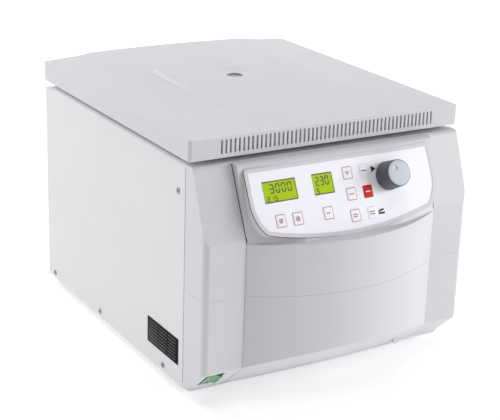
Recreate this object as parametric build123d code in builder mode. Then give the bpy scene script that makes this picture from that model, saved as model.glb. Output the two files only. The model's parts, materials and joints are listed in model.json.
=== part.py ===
"""Microplate centrifuge: case, control pod, hinged lid with lock, chamber, drive and swing-out rotor.

X runs across the machine, Y from its front to its rear and Z up. The origin is in the middle of the
machine, on the surface that it stands on.
"""
from build123d import *
import math
import os

os.makedirs("parts", exist_ok=True)

# ---------------------------------------------------------------- case
lid_width = 400
lid_depth = 435
body_width = 394
case_height = 293.5
foot_height = 10
foot_radius = 13
foot_inset = 34
foot_chamfer = 1
sheet = 1.5
shell = 3
bend_radius = 4
rim_width = 12
rear_overhang = 2
inlet_proud = 2
rear_step = 24
rear_drop = 6
base_sheet = 2
base_flange = 14
deck_sheet = 2.5
panel_setback = 13
screw_front_reach = 66
screw_middle_reach = 256
screw_back_margin = 21

# ---------------------------------------------------------------- front covers, measured from the lid's front
bulge_reach = 82
bulge_half_width = 140.6
bulge_edge_reach = 38.5
pillar_reach = 37.5
pillar_top_reach = 4.2
pillar_bend_height = 205
corner_radius = 8
seam_height = 133.7
shoulder_height = 199
shoulder_sheet = 1.5
top_rounding = 7
trim_height = 38
trim_slope = 0.494
trim_foot_height = 4.7
trim_foot_reach = 2
trim_foot_edge_reach = 3
trim_foot_bulge_reach = 8.5
foot_lip = 9
base_lap = 4
tongue_length = 25
tongue_height = 22
cover_screw_height = 255.5
cover_screw_inset = 17.5

# ---------------------------------------------------------------- control pod
panel_top_reach = 21.7
panel_top_height = 283.2
panel_lean = 0.486
pod_top_reach = 16.5
pod_foot_reach = 70
pod_top_half_width = 145
pod_rounding = 8
lip_width = 5
lip_rise = 0.5
overlay_sheet = 0.8
overlay_half_width = 133
overlay_side_length = 33
overlay_length = 87.5
overlay_corner_drop = 72
overlay_corner_half_width = 119.5
overlay_bow = 4.3
overlay_corner_radius = 10
key_gap = 0.3
key_proud = 0.3
key_travel = 0.5
key_width = 14
key_height = 15.8
dome_radius = 4
dome_gap = 0.1
seat_width = 2
window_height = 26.5
speed_window_width = 47
time_window_width = 29.5
module_depth = 4.2
board_sheet = 1.6
board_half_width = 106
board_top_drop = 4
board_bottom_drop = 76
post_radius = 2.5
back_opening_half = 128
back_opening_margin = 8
knob_radius = 18.5
knob_face_radius = 16.9
knob_height = 25.3
knob_stem_radius = 3
knob_dimple_radius = 4
knob_dimple_depth = 1.3
knob_edge_radius = 1.2
encoder_size = 14
bushing_radius = 5
bushing_rise = 3
knob_gap = 0.4
fit = 0.1

# ---------------------------------------------------------------- lid
lid_gap = 6
lid_edge_height = 26
lid_corner_radius = 4.5
lid_flat_front = 25
crown_rise = 8.5
crown_shoulder_rise = 6.4
crown_foot_rise = 3.5
crown_shoulder_inset = 73
crown_foot_inset = 54
plateau_inset = 100.5
plateau_front = 78
plateau_back = 318
plateau_rise = 3.5
plateau_front_rise = 0.1
plateau_edge = 6.5
plateau_corner = 28
port_radius = 11.5
dish_radius = 30.5
dish_floor_radius = 22
dish_depth = 1.6
grille_slots = 52
grille_pitch = 6.12
grille_slot_width = 2.6
grille_height = 16.9
grille_drop = 12.4
plate_sheet = 1.5
window_flange = 3.5
window_sheet = 3
window_drop = 0.5

# ---------------------------------------------------------------- lid hinge and gas springs
hinge_inset = 7
hinge_height = 5.5
hinge_spacing = 120
hinge_pin_radius = 3
hinge_eye_radius = 5
pin_overhang = 0.5
arm_width = 16
ear_width = 3
arm_reach = 28
arm_neck = 8
spring_spacing = 150
spring_lever = 15.9
spring_drop = 12.2
tab_width = 4
spring_pin_radius = 2.5
fork_width = 9
fork_depth = 9
cheek_width = 2
fork_length = 12
rod_radius = 4
rod_length = 160
cylinder_radius = 8
cylinder_length = 165
cylinder_drop = 28
spring_foot_drop = 22
spring_foot_pin_radius = 3
spring_foot_slot = 12
spring_bracket_width = 22
slot_clearance = 0.65
gas_slot_front = 10
gas_slot_back = 8
gas_slot_half = 6

# ---------------------------------------------------------------- lid lock
striker_reach = 35
striker_spacing = 100
striker_width = 12
striker_sheet = 4
striker_length = 25
striker_window = 9
latch_drop = 32
latch_shaft_radius = 4
hook_width = 6
hook_height = 22
hook_nose = 9
hook_reach = 5
hook_hub_radius = 7
hook_nose_height = 4
hook_sheet = 6
hook_rest_angle = 25
shaft_overhang = 1
latch_block_width = 8
latch_block_offset = 12
latch_motor_gap = 4
latch_motor_length = 36
latch_motor_bore = 8
latch_motor_size = 28
deck_slot_margin = 4

# ---------------------------------------------------------------- chamber, drive and rotor
chamber_back = 240
bowl_radius = 160
bowl_sheet = 1.2
bowl_depth = 149
bowl_rim_width = 5.5
bowl_hole_radius = 30
guard_gap = 3
guard_wall = 6
gasket_width = 5
gasket_gap = 0.3
motor_radius = 55
motor_wall = 5
motor_height = 100
motor_flange = 10
mount_plate_size = 170
damper_inset = 15
mount_plate_sheet = 4
damper_radius = 12
damper_height = 24
shaft_radius = 6
bearing_radius = 14
bearing_width = 10
bore_clearance = 1
armature_radius = 40
armature_gap = 4
running_gap = 0.05
rotor_height = 225
yoke_bar_width = 10
yoke_bar_height = 16
yoke_half_length = 100
hub_radius = 22
hub_height = 26
web_width = 30
nut_radius = 14
nut_height = 8
nut_chamfer = 1.5
trunnion_radius = 4
trunnion_reach = 86
carrier_half_width = 46
carrier_half_length = 67
carrier_drop = 28
carrier_wall = 2.5
carrier_side_height = 16
carrier_ear_half = 13
carrier_ear_radius = 9
carrier_gap = 2

# ---------------------------------------------------------------- mains parts
switch_inset = 21
switch_width = 27
switch_length = 32
switch_depth = 23
switch_down = 21
rocker_half_length = 10.8
rocker_half_width = 13.2
rocker_gap = 0.4
rocker_sway = 1.2
rocker_pivot_depth = 6
rocker_tilt = 7
rocker_rise = 2.2
rocker_dip = 0.6
inlet_across = 100
inlet_up = 50
inlet_width = 50
inlet_height = 30
inlet_body_width = 32
inlet_body_height = 25
inlet_socket_width = 24.5
inlet_socket_height = 17
inlet_depth = 24
inlet_floor = 6
inlet_pin_width = 2
inlet_pin_height = 4
inlet_pin_spacing = 7
plug_across = 112
plug_radius = 4.5
plug_up = 11
plug_gap = 0.3
plug_length = 20
plug_front_reach = 17
power_board_width = 76
power_board_length = 130
power_board_inset = 57
power_board_back = 185
standoff_height = 6
standoff_radius = 3
standoff_inset = 6
transformer_size = 45
transformer_height = 36
capacitor_radius = 9
capacitor_height = 28
vent_slots = 14
vent_pitch = 9
vent_width = 4
vent_height = 60
screw_head_radius = 4
screw_head = 1.4
screw_radius = 1.8
screw_length = 6

# ---------------------------------------------------------------- places worked out from the sizes
half_body = body_width / 2
half_lid = lid_width / 2
crown_shoulder_half = half_lid - crown_shoulder_inset
crown_foot_half = half_lid - crown_foot_inset
plateau_half_width = half_lid - plateau_inset
switch_across = switch_inset - half_body
power_board_across = power_board_inset - half_body
lid_front = (bulge_reach - lid_depth - rear_overhang - inlet_proud) / 2
lid_back = lid_front + lid_depth
rear_face = lid_back + rear_overhang
rear_inside = rear_face - sheet
panel_front = lid_front + panel_setback
base_top = foot_height + base_sheet
rim_top = foot_height + case_height
deck_top = rim_top - sheet
deck_bottom = deck_top - deck_sheet
ledge_front = rear_face - rear_step
ledge_top = rim_top - rear_drop
lid_bottom = rim_top + lid_gap
lid_edge_top = lid_bottom + lid_edge_height
plate_top = lid_bottom + plate_sheet
hinge_y = rear_face - hinge_inset
hinge_z = ledge_top + hinge_height
chamber_y = lid_front + chamber_back
latch_y = lid_front + striker_reach
latch_z = deck_top - latch_drop
seam_z = foot_height + seam_height
shoulder_z = foot_height + shoulder_height


def across(y):
    """Plane across the machine at a given Y: its x is X, its y is Z, and it faces the front."""
    return Plane.XZ.offset(-y)


def write(part, name):
    """Label a finished piece and write it."""
    part.label = name
    export_step(part, "parts/" + name + ".step")


# The overlay's plane leans back; its local y runs up the slope, and its z points out to the user.
panel_tilt = math.degrees(math.atan(panel_lean))
panel_plane = Plane(
    origin=(0, lid_front - panel_top_reach, foot_height + panel_top_height),
    x_dir=(1, 0, 0),
    z_dir=(0, -math.cos(math.radians(panel_tilt)), math.sin(math.radians(panel_tilt))),
)

# The lower edge of the upright front walls lies in this sloping plane.
trim_plane = Plane(
    origin=(0, lid_front - pillar_reach, foot_height + trim_height),
    x_dir=(1, 0, 0),
    z_dir=(0, trim_slope, 1),
)

# The face of the left pillar's sloping trim, in which the mains switch sits.
trim_fall = trim_height - trim_foot_height
trim_run = pillar_reach - trim_foot_reach
trim_length = math.hypot(trim_fall, trim_run)
trim_out = (0, -trim_fall / trim_length, -trim_run / trim_length)
switch_plane = Plane(
    origin=(
        switch_across,
        lid_front - pillar_reach + trim_run * switch_down / trim_length,
        foot_height + trim_height - trim_fall * switch_down / trim_length,
    ),
    x_dir=(1, 0, 0),
    z_dir=trim_out,
)


# ================================================================ case
screw_low_z = base_top + base_flange / 2
screw_places = [
    (lid_front + screw_front_reach, screw_low_z),
    (lid_front + screw_middle_reach, screw_low_z),
    (lid_back - screw_back_margin, screw_low_z),
]
cover_screw_place = (panel_front + cover_screw_inset, foot_height + cover_screw_height)

with BuildPart() as base_plate:
    with BuildSketch(Plane.XY.offset(foot_height)) as base_outline:
        with BuildLine():
            Polyline(
                (-half_body + sheet, lid_front),
                (half_body - sheet, lid_front),
                (half_body - sheet, rear_inside),
                (-half_body + sheet, rear_inside),
                close=True,
            )
        make_face()
        fillet(base_outline.vertices().group_by(Axis.Y)[0], radius=corner_radius)
    extrude(amount=base_sheet)
    with BuildSketch(Plane.XY.offset(base_top)):
        for side in (-1, 1):
            with Locations((side * (half_body - sheet - base_sheet / 2), (panel_front + rear_inside) / 2)):
                Rectangle(base_sheet, rear_inside - panel_front)
    extrude(amount=base_flange)
    for screw_y, screw_z in screw_places:
        with BuildSketch(Plane.YZ.offset(-half_body)):
            with Locations((screw_y, screw_z)):
                Circle(screw_radius)
        extrude(amount=body_width, mode=Mode.SUBTRACT)
write(base_plate.part, "base_plate")

with BuildPart() as feet:
    foot_x = half_body - foot_inset
    with BuildSketch():
        for foot_y in (panel_front + foot_inset, rear_inside - foot_inset):
            with Locations((-foot_x, foot_y), (foot_x, foot_y)):
                Circle(foot_radius)
    extrude(amount=foot_height)
    chamfer(feet.edges().filter_by(GeomType.CIRCLE).group_by(Axis.Z)[0], length=foot_chamfer)
write(feet.part, "feet")

with BuildPart() as left_side_panel:
    with BuildSketch(across(rear_face)):
        with BuildLine():
            Polyline(
                (-half_body + sheet, rim_top - bend_radius),
                (-half_body + sheet, foot_height),
                (-half_body, foot_height),
                (-half_body, rim_top - bend_radius),
            )
            CenterArc((-half_body + bend_radius, rim_top - bend_radius), bend_radius, 90, 90)
            Polyline(
                (-half_body + bend_radius, rim_top),
                (-half_body + rim_width, rim_top),
                (-half_body + rim_width, deck_top),
                (-half_body + bend_radius, deck_top),
            )
            CenterArc((-half_body + bend_radius, rim_top - bend_radius), bend_radius - sheet, 90, 90)
        make_face()
    extrude(amount=rear_face - panel_front)
    with BuildSketch(across(rear_face)):
        with Locations((-half_body + rim_width / 2, ledge_top)):
            Rectangle(rim_width, rear_drop, align=(Align.CENTER, Align.MIN))
    extrude(amount=rear_step, mode=Mode.SUBTRACT)
    with BuildSketch(Plane.YZ.offset(-half_body)):
        with Locations(*screw_places, cover_screw_place):
            Circle(screw_radius)
    extrude(amount=sheet, mode=Mode.SUBTRACT)
write(left_side_panel.part, "left_side_panel")

with BuildPart() as right_side_panel:
    add(mirror(left_side_panel.part, about=Plane.YZ))
write(right_side_panel.part, "right_side_panel")

with BuildPart() as side_screws:
    for side in (-1, 1):
        for screw_y, screw_z in screw_places + [cover_screw_place]:
            with BuildSketch(Plane.YZ.offset(side * half_body)):
                with Locations((screw_y, screw_z)):
                    Circle(screw_head_radius)
            extrude(amount=side * screw_head)
            with BuildSketch(Plane.YZ.offset(side * half_body)):
                with Locations((screw_y, screw_z)):
                    Circle(screw_radius - running_gap)
            extrude(amount=-side * screw_length)
write(side_screws.part, "side_screws")

inlet_place = (inlet_across, foot_height + inlet_up)
with BuildPart() as rear_panel:
    with BuildSketch(across(rear_face)):
        with Locations((0, base_top)):
            Rectangle(
                body_width - 2 * sheet, ledge_top - base_top, align=(Align.CENTER, Align.MIN)
            )
        with Locations(inlet_place):
            Rectangle(inlet_body_width + 2 * fit, inlet_body_height + 2 * fit, mode=Mode.SUBTRACT)
        with Locations((0, (base_top + ledge_top) / 2)):
            with GridLocations(vent_pitch, 1, vent_slots, 1):
                SlotOverall(vent_height, vent_width, rotation=90, mode=Mode.SUBTRACT)
    extrude(amount=sheet)
write(rear_panel.part, "rear_panel")


# ================================================================ front covers
def front_outline(inset, pillar, bulge_edge, bulge_front, back):
    """Plan of the front, given how far its parts reach in front of the lid, shrunk by a wall."""
    side = half_body - inset
    bulge_half = bulge_half_width - inset
    corner = corner_radius - inset
    pillar_y = lid_front - pillar + inset
    edge_y = lid_front - bulge_edge + inset
    bulge_y = lid_front - bulge_front + inset
    diagonal = corner * math.sqrt(0.5)
    with BuildSketch() as plan:
        with BuildLine():
            for hand in (-1, 1):
                Polyline(
                    (hand * bulge_half, edge_y),
                    (hand * bulge_half, pillar_y),
                    (hand * (side - corner), pillar_y),
                )
                ThreePointArc(
                    (hand * (side - corner), pillar_y),
                    (hand * (side - corner + diagonal), pillar_y + corner - diagonal),
                    (hand * side, pillar_y + corner),
                )
                Line((hand * side, pillar_y + corner), (hand * side, back))
            ThreePointArc((-bulge_half, edge_y), (0, bulge_y), (bulge_half, edge_y))
            Line((-side, back), (side, back))
        make_face()
    return plan.sketch


def lower_front(inset):
    """Solid behind the lower front's outer faces, shrunk by a wall."""
    with BuildPart() as body:
        with BuildSketch(Plane.XY.offset(foot_height)):
            add(front_outline(inset, pillar_reach, bulge_edge_reach, bulge_reach, panel_front))
        extrude(amount=seam_height)
        split(bisect_by=trim_plane, keep=Keep.TOP)
        section = body.faces().filter_by(lambda f: f.normal_at().dot(trim_plane.z_dir) < -0.999)[0]
        with BuildSketch(Plane.XY.offset(foot_height + trim_foot_height)) as foot_section:
            add(
                front_outline(
                    inset, trim_foot_reach, trim_foot_edge_reach, trim_foot_bulge_reach, panel_front
                )
            )
        loft(sections=[section, foot_section.sketch.faces()[0]], ruled=True)
    return body.part


lower_outside = lower_front(0)
lower_inside = lower_front(shell)
trim_foot_z = foot_height + trim_foot_height

with BuildPart() as front_cover_lower:
    add(lower_outside)
    add(lower_inside, mode=Mode.SUBTRACT)
    with BuildSketch(Plane.XY.offset(base_top)):
        add(
            front_outline(0, trim_foot_reach, trim_foot_edge_reach, trim_foot_bulge_reach, panel_front)
        )
        with Locations((0, lid_front + base_lap)):
            Rectangle(
                body_width - 2 * foot_lip, panel_setback, align=(Align.CENTER, Align.MIN), mode=Mode.SUBTRACT
            )
    extrude(amount=trim_foot_z - base_top)
    with BuildSketch(switch_plane):
        Rectangle(switch_width + 2 * fit, switch_length + 2 * fit)
    extrude(amount=2 * shell, both=True, mode=Mode.SUBTRACT)
    with BuildSketch(across(lid_front)):
        with Locations((plug_across, foot_height + plug_up)):
            Circle(plug_radius + plug_gap)
    extrude(amount=bulge_reach, mode=Mode.SUBTRACT)
write(front_cover_lower.part, "front_cover_lower")

with BuildPart() as release_plug:
    with BuildSketch(across(lid_front - plug_front_reach)):
        with Locations((plug_across, foot_height + plug_up)):
            Circle(plug_radius)
    extrude(amount=-plug_length)
write(release_plug.part, "release_plug")

lean_run = pillar_reach - pillar_top_reach
lean_fall = case_height - pillar_bend_height
front_far = lid_front - bulge_reach - shell


def side_block(points, rounded=None, radius=0):
    """Solid of a side profile that reaches past both sides, with one of its corners rounded."""
    with BuildPart() as block:
        with BuildSketch(Plane.YZ.offset(-body_width)) as profile:
            with BuildLine():
                Polyline(*points, close=True)
            make_face()
            if rounded:
                fillet(profile.vertices().sort_by_distance((*rounded, 0))[0], radius=radius)
        extrude(amount=2 * body_width)
    return block.part


def upper_front(inset, top):
    """Solid behind the pillars' and the bow's outer faces above the seam, shrunk by a wall."""
    with BuildPart() as body:
        with BuildSketch(Plane.XY.offset(seam_z)):
            add(front_outline(inset, pillar_reach, bulge_edge_reach, bulge_reach, panel_front))
        extrude(amount=case_height - seam_height)
        pillar_y = lid_front - pillar_reach + inset
        top_y = pillar_y + lean_run * (top - foot_height - pillar_bend_height) / lean_fall
        top_corner = (top_y, top)
        add(
            side_block(
                [
                    (front_far, seam_z),
                    (front_far, shoulder_z),
                    (pillar_y, shoulder_z),
                    (pillar_y, foot_height + pillar_bend_height),
                    top_corner,
                    (panel_front, top),
                    (panel_front, seam_z),
                ],
                top_corner,
                top_rounding - inset,
            ),
            mode=Mode.INTERSECT,
        )
    return body.part


upper_outside = upper_front(0, rim_top)
upper_inside = upper_front(shell, deck_top)
with BuildPart() as front_cover_upper:
    add(upper_outside)
    add(upper_inside, mode=Mode.SUBTRACT)
    with BuildSketch(across(panel_front)):
        with Locations((0, shoulder_z + back_opening_margin)):
            Rectangle(
                2 * back_opening_half,
                rim_top - shoulder_z - 2 * back_opening_margin,
                align=(Align.CENTER, Align.MIN),
            )
    extrude(amount=pillar_reach + panel_setback, mode=Mode.SUBTRACT)
    for side in (-1, 1):
        with BuildSketch(Plane.YZ.offset(side * (half_body - sheet))):
            with Locations((panel_front - foot_lip, cover_screw_place[1])):
                Rectangle(tongue_length + foot_lip, tongue_height, align=(Align.MIN, Align.CENTER))
            with Locations(cover_screw_place):
                Circle(screw_radius, mode=Mode.SUBTRACT)
        extrude(amount=-side * base_sheet)
write(front_cover_upper.part, "front_cover_upper")


# ================================================================ control pod and its panel
def on_panel(depth):
    """Height-to-Y rule of the panel's plane, moved back by a depth along its normal."""
    back = depth / math.cos(math.radians(panel_tilt))
    return lambda z: lid_front - panel_top_reach - panel_lean * (foot_height + panel_top_height - z) + back


def bow_section(reach, inset):
    """Flat face behind an arc that spans the bow and reaches in front of the lid, shrunk by a wall."""
    half = bulge_half_width - inset
    edge_y = lid_front - bulge_edge_reach + inset
    rear = lid_front + pillar_reach
    with BuildSketch() as section:
        with BuildLine():
            Polyline((-half, edge_y), (-half, rear), (half, rear), (half, edge_y))
            ThreePointArc((-half, edge_y), (0, lid_front - reach + inset), (half, edge_y))
        make_face()
    return section.sketch


def pod_loft(inset, bottom, top):
    """Solid that joins a shallow arc below to the pod's straight top edge."""
    rear = lid_front + pillar_reach
    with BuildPart() as body:
        with BuildSketch(Plane.XY.offset(shoulder_z)) as low:
            add(bow_section(pod_foot_reach, inset))
        with BuildSketch(Plane.XY.offset(rim_top)) as high:
            half = pod_top_half_width - inset
            front = lid_front - pod_top_reach + inset
            with BuildLine():
                Polyline((-half, front), (-half, rear), (half, rear), (half, front), close=True)
            make_face()
        loft(sections=[low.sketch.faces()[0], high.sketch.faces()[0]], ruled=True)
        split(bisect_by=Plane.XY.offset(bottom), keep=Keep.TOP)
        split(bisect_by=Plane.XY.offset(top), keep=Keep.BOTTOM)
    return body.part


with BuildSketch() as overlay_outline:
    with BuildLine():
        Line((-overlay_half_width, 0), (overlay_half_width, 0))
        for hand in (-1, 1):
            Line((hand * overlay_half_width, 0), (hand * overlay_half_width, -overlay_side_length))
            ThreePointArc(
                (hand * overlay_half_width, -overlay_side_length),
                (
                    hand * ((overlay_half_width + overlay_corner_half_width) / 2 + overlay_bow),
                    -(overlay_side_length + overlay_corner_drop) / 2,
                ),
                (hand * overlay_corner_half_width, -overlay_corner_drop),
            )
        ThreePointArc(
            (-overlay_corner_half_width, -overlay_corner_drop),
            (0, -overlay_length),
            (overlay_corner_half_width, -overlay_corner_drop),
        )
    make_face()
    fillet(overlay_outline.vertices().group_by(Axis.Y)[0], radius=overlay_corner_radius)


def panel_block(grow, front, back):
    """Solid of the overlay's outline, grown on all sides, between two depths behind the panel's plane."""
    with BuildPart() as block:
        with BuildSketch(panel_plane.offset(-back)):
            if grow:
                offset(overlay_outline.sketch, amount=grow)
            else:
                add(overlay_outline.sketch)
        extrude(amount=back - front)
    return block.part


face_depth = overlay_sheet + shell
pod_back = bulge_reach - pod_top_reach
outer_plane = on_panel(0)
inner_plane = on_panel(face_depth)
shoulder_top = shoulder_z + shoulder_sheet
pod_floor = shoulder_z + shell
lean_bend = (lid_front - pillar_reach, foot_height + pillar_bend_height)
lean_top = (lid_front - pillar_top_reach, rim_top)
pod_corner = (outer_plane(rim_top), rim_top)
pod_profile = side_block(
    [
        (front_far, shoulder_z),
        (front_far, shoulder_top),
        (outer_plane(shoulder_top), shoulder_top),
        pod_corner,
        lean_top,
        lean_bend,
        (lean_bend[0], shoulder_z),
    ],
    pod_corner,
    pod_rounding,
)
pad_profile = side_block(
    [
        (front_far, shoulder_z),
        (front_far, rim_top),
        lean_top,
        lean_bend,
        (lean_bend[0], shoulder_z),
    ]
)
hollow_back = lid_front + panel_setback
hollow_profile = side_block(
    [
        (inner_plane(pod_floor), pod_floor),
        (inner_plane(rim_top - shell), rim_top - shell),
        (hollow_back, rim_top - shell),
        (hollow_back, pod_floor),
    ]
)
pod_outside = pod_loft(0, shoulder_z, rim_top)
pod_inside = pod_loft(shell, pod_floor, rim_top - shell)
pad_outside = panel_block(lip_width, -lip_rise, pod_back)
pad_inside = panel_block(lip_width - shell, face_depth, pod_back)
overlay_recess = panel_block(0, -2 * lip_rise, overlay_sheet)

# Places on the panel: across from its middle, and down the slope from its upper edge.
speed_window_place = (-93.5, -26)
time_window_place = (-31.5, -25.9)
knob_place = (65.7, -29.6)
key_places = {
    "program_key": (-100.4, -62.2),
    "recall_key": (-76.5, -62.8),
    "radius_key": (-32.4, -62.5),
    "brake_key": (6, -17.8),
    "ramp_key": (6.4, -44.4),
    "pulse_key": (6, -71.5),
    "start_key": (31, -18),
    "stop_key": (31.2, -44.6),
    "lid_key": (31.4, -71.5),
}
post_places = [(-100, -9), (-88.5, -62), (86, -62), (100, -9)]

with BuildPart() as control_pod:
    add(pod_outside)
    with BuildSketch(Plane.XY.offset(shoulder_z)):
        add(bow_section(bulge_reach, 0))
    extrude(amount=shoulder_sheet)
    add(pod_profile, mode=Mode.INTERSECT)
    add(pad_outside.intersect(pad_profile))
    add(pod_inside.intersect(hollow_profile), mode=Mode.SUBTRACT)
    add(pad_inside.intersect(hollow_profile), mode=Mode.SUBTRACT)
    add(overlay_recess, mode=Mode.SUBTRACT)
    with BuildSketch(panel_plane):
        with Locations(*key_places.values()):
            Rectangle(key_width + 2 * key_gap, key_height + 2 * key_gap)
        with Locations(speed_window_place):
            Rectangle(speed_window_width - 2 * seat_width, window_height - 2 * seat_width)
        with Locations(time_window_place):
            Rectangle(time_window_width - 2 * seat_width, window_height - 2 * seat_width)
        with Locations(knob_place):
            Circle(bushing_radius + fit)
    extrude(amount=-face_depth, mode=Mode.SUBTRACT)
    with BuildSketch(panel_plane.offset(-face_depth)):
        with Locations(*post_places):
            Circle(post_radius)
    extrude(amount=-module_depth)
write(control_pod.part, "control_pod")

with BuildPart() as panel_overlay:
    with BuildSketch(panel_plane.offset(-overlay_sheet)):
        add(overlay_outline.sketch)
        with Locations(*key_places.values()):
            Rectangle(key_width + 2 * key_gap, key_height + 2 * key_gap, mode=Mode.SUBTRACT)
        with Locations(speed_window_place):
            Rectangle(speed_window_width, window_height, mode=Mode.SUBTRACT)
        with Locations(time_window_place):
            Rectangle(time_window_width, window_height, mode=Mode.SUBTRACT)
        with Locations(knob_place):
            Circle(bushing_radius + fit, mode=Mode.SUBTRACT)
    extrude(amount=overlay_sheet)
write(panel_overlay.part, "panel_overlay")


def panel_plate(width, height, place, depth, thickness):
    """Rectangular plate on the panel's plane, with its back at a depth behind it."""
    with BuildPart() as plate:
        with BuildSketch(panel_plane.offset(-depth)):
            with Locations(place):
                Rectangle(width, height)
        extrude(amount=thickness)
    return plate.part


module_back = face_depth + module_depth
for name, width, place in (
    ("speed_display", speed_window_width, speed_window_place),
    ("time_display", time_window_width, time_window_place),
):
    window = panel_plate(width, window_height, place, overlay_sheet, overlay_sheet)
    write(window, name + "_window")
    module = panel_plate(width, window_height, place, module_back, module_depth)
    write(module, name + "_module")

for name, place in key_places.items():
    key = panel_plate(key_width, key_height, place, face_depth, face_depth + key_proud)
    write(key, name)

with BuildPart() as control_board:
    with BuildSketch(panel_plane.offset(-module_back)):
        with Locations((0, -board_top_drop)):
            Rectangle(
                2 * board_half_width, board_bottom_drop - board_top_drop, align=(Align.CENTER, Align.MAX)
            )
    extrude(amount=-board_sheet)
    with BuildSketch(panel_plane.offset(-module_back)):
        with Locations(*key_places.values()):
            Circle(dome_radius)
    extrude(amount=module_depth - key_travel - dome_gap)
write(control_board.part, "control_board")

with BuildPart() as knob_encoder:
    with BuildSketch(panel_plane.offset(-module_back)):
        with Locations(knob_place):
            Rectangle(encoder_size, encoder_size)
    extrude(amount=module_depth)
    with BuildSketch(panel_plane.offset(-face_depth)):
        with Locations(knob_place):
            Circle(bushing_radius)
    extrude(amount=face_depth + bushing_rise)
    with BuildSketch(panel_plane.offset(bushing_rise)):
        with Locations(knob_place):
            Circle(knob_stem_radius + fit)
    extrude(amount=-(face_depth + bushing_rise), mode=Mode.SUBTRACT)
write(knob_encoder.part, "knob_encoder")

with BuildPart() as knob:
    with BuildSketch(panel_plane.offset(knob_gap)):
        with Locations(knob_place):
            Circle(knob_radius)
    knob_taper = math.degrees(math.atan((knob_radius - knob_face_radius) / knob_height))
    extrude(amount=knob_height, taper=knob_taper)
    knob_rims = knob.edges().filter_by(GeomType.CIRCLE)
    fillet(knob_rims.sort_by(Axis(panel_plane.origin, panel_plane.z_dir))[-1], knob_edge_radius)
    with BuildSketch(panel_plane.offset(knob_gap)):
        with Locations(knob_place):
            Circle(bushing_radius + 2 * knob_gap)
    extrude(amount=bushing_rise, mode=Mode.SUBTRACT)
    with BuildSketch(panel_plane.offset(knob_gap + bushing_rise)):
        with Locations(knob_place):
            Circle(knob_stem_radius)
    extrude(amount=-(bushing_rise + face_depth))
    with BuildSketch(panel_plane.offset(knob_gap + knob_height)):
        with Locations((knob_place[0] - knob_face_radius / 2, knob_place[1] + knob_dimple_radius)):
            Circle(knob_dimple_radius)
    extrude(amount=-knob_dimple_depth, mode=Mode.SUBTRACT)
write(knob.part, "knob")


# ================================================================ deck and chamber
slot_front = hinge_y - spring_lever - gas_slot_front
slot_back = hinge_y - spring_lever + gas_slot_back
bowl_outer = bowl_radius + bowl_sheet
bowl_floor = deck_top - bowl_depth
guard_inner = bowl_outer + guard_gap
guard_outer = guard_inner + guard_wall
rim_outer = bowl_radius + bowl_rim_width
gasket_inner = rim_outer + gasket_gap
half_inside = half_body - sheet
striker_slot_width = striker_width + 2 * deck_slot_margin
striker_slot_length = striker_sheet + 2 * deck_slot_margin

with BuildPart() as deck:
    with BuildSketch(Plane.XY.offset(deck_bottom)):
        with Locations((0, ledge_front)):
            Rectangle(
                2 * (half_body - bend_radius), ledge_front - panel_front, align=(Align.CENTER, Align.MAX)
            )
        with Locations((0, panel_front)):
            Rectangle(
                2 * (half_body - shell), panel_setback - base_lap, align=(Align.CENTER, Align.MAX)
            )
    extrude(amount=deck_sheet)
    with BuildSketch(Plane.XY.offset(ledge_top - deck_sheet)):
        with Locations((0, rear_inside)):
            Rectangle(
                2 * half_inside, rear_inside - ledge_front + deck_sheet, align=(Align.CENTER, Align.MAX)
            )
    extrude(amount=deck_sheet)
    with BuildSketch(Plane.XY.offset(ledge_top)):
        with Locations((0, ledge_front)):
            Rectangle(2 * (half_body - bend_radius), deck_sheet, align=(Align.CENTER, Align.MAX))
    extrude(amount=deck_bottom - ledge_top)
    with BuildSketch(Plane.XY.offset(ledge_top - deck_sheet)):
        with Locations((0, chamber_y)):
            Circle(bowl_outer + fit)
        for side in (-1, 1):
            with Locations((side * spring_spacing, (slot_front + slot_back) / 2)):
                Rectangle(2 * gas_slot_half, slot_back - slot_front)
            with Locations((side * striker_spacing, latch_y)):
                Rectangle(striker_slot_width, striker_slot_length)
    extrude(amount=rim_top - ledge_top + deck_sheet, mode=Mode.SUBTRACT)
write(deck.part, "deck")

with BuildPart() as chamber_bowl:
    with BuildSketch(Plane.XY.offset(bowl_floor)):
        with Locations((0, chamber_y)):
            Circle(bowl_outer)
    extrude(amount=bowl_depth)
    with BuildSketch(Plane.XY.offset(deck_top)):
        with Locations((0, chamber_y)):
            Circle(rim_outer)
    extrude(amount=bowl_sheet)
    with BuildSketch(Plane.XY.offset(bowl_floor + bowl_sheet)):
        with Locations((0, chamber_y)):
            Circle(bowl_radius)
    extrude(amount=bowl_depth + bowl_sheet, mode=Mode.SUBTRACT)
    with BuildSketch(Plane.XY.offset(bowl_floor)):
        with Locations((0, chamber_y)):
            Circle(bowl_hole_radius)
    extrude(amount=bowl_sheet, mode=Mode.SUBTRACT)
write(chamber_bowl.part, "chamber_bowl")

guard_bottom = bowl_floor + guard_gap
with BuildPart() as guard_ring:
    with BuildSketch(Plane.XY.offset(guard_bottom)):
        with Locations((0, chamber_y)):
            Circle(guard_outer)
            Circle(guard_inner, mode=Mode.SUBTRACT)
    extrude(amount=deck_bottom - guard_bottom)
    # The ring is flattened where the deck steps down behind it.
    with BuildSketch(Plane.XY.offset(ledge_top - deck_sheet)):
        with Locations((0, ledge_front - deck_sheet)):
            Rectangle(lid_width, rear_step, align=(Align.CENTER, Align.MIN))
    extrude(amount=rear_drop + deck_sheet, mode=Mode.SUBTRACT)
write(guard_ring.part, "guard_ring")

with BuildPart() as chamber_gasket:
    with BuildSketch(Plane.XY.offset(deck_top)):
        with Locations((0, chamber_y)):
            Circle(gasket_inner + gasket_width)
            Circle(gasket_inner, mode=Mode.SUBTRACT)
    extrude(amount=lid_bottom - deck_top - gasket_gap)
write(chamber_gasket.part, "chamber_gasket")


# ================================================================ hinge and gas springs
spring_y = hinge_y - spring_lever
spring_z = hinge_z - spring_drop

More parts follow.
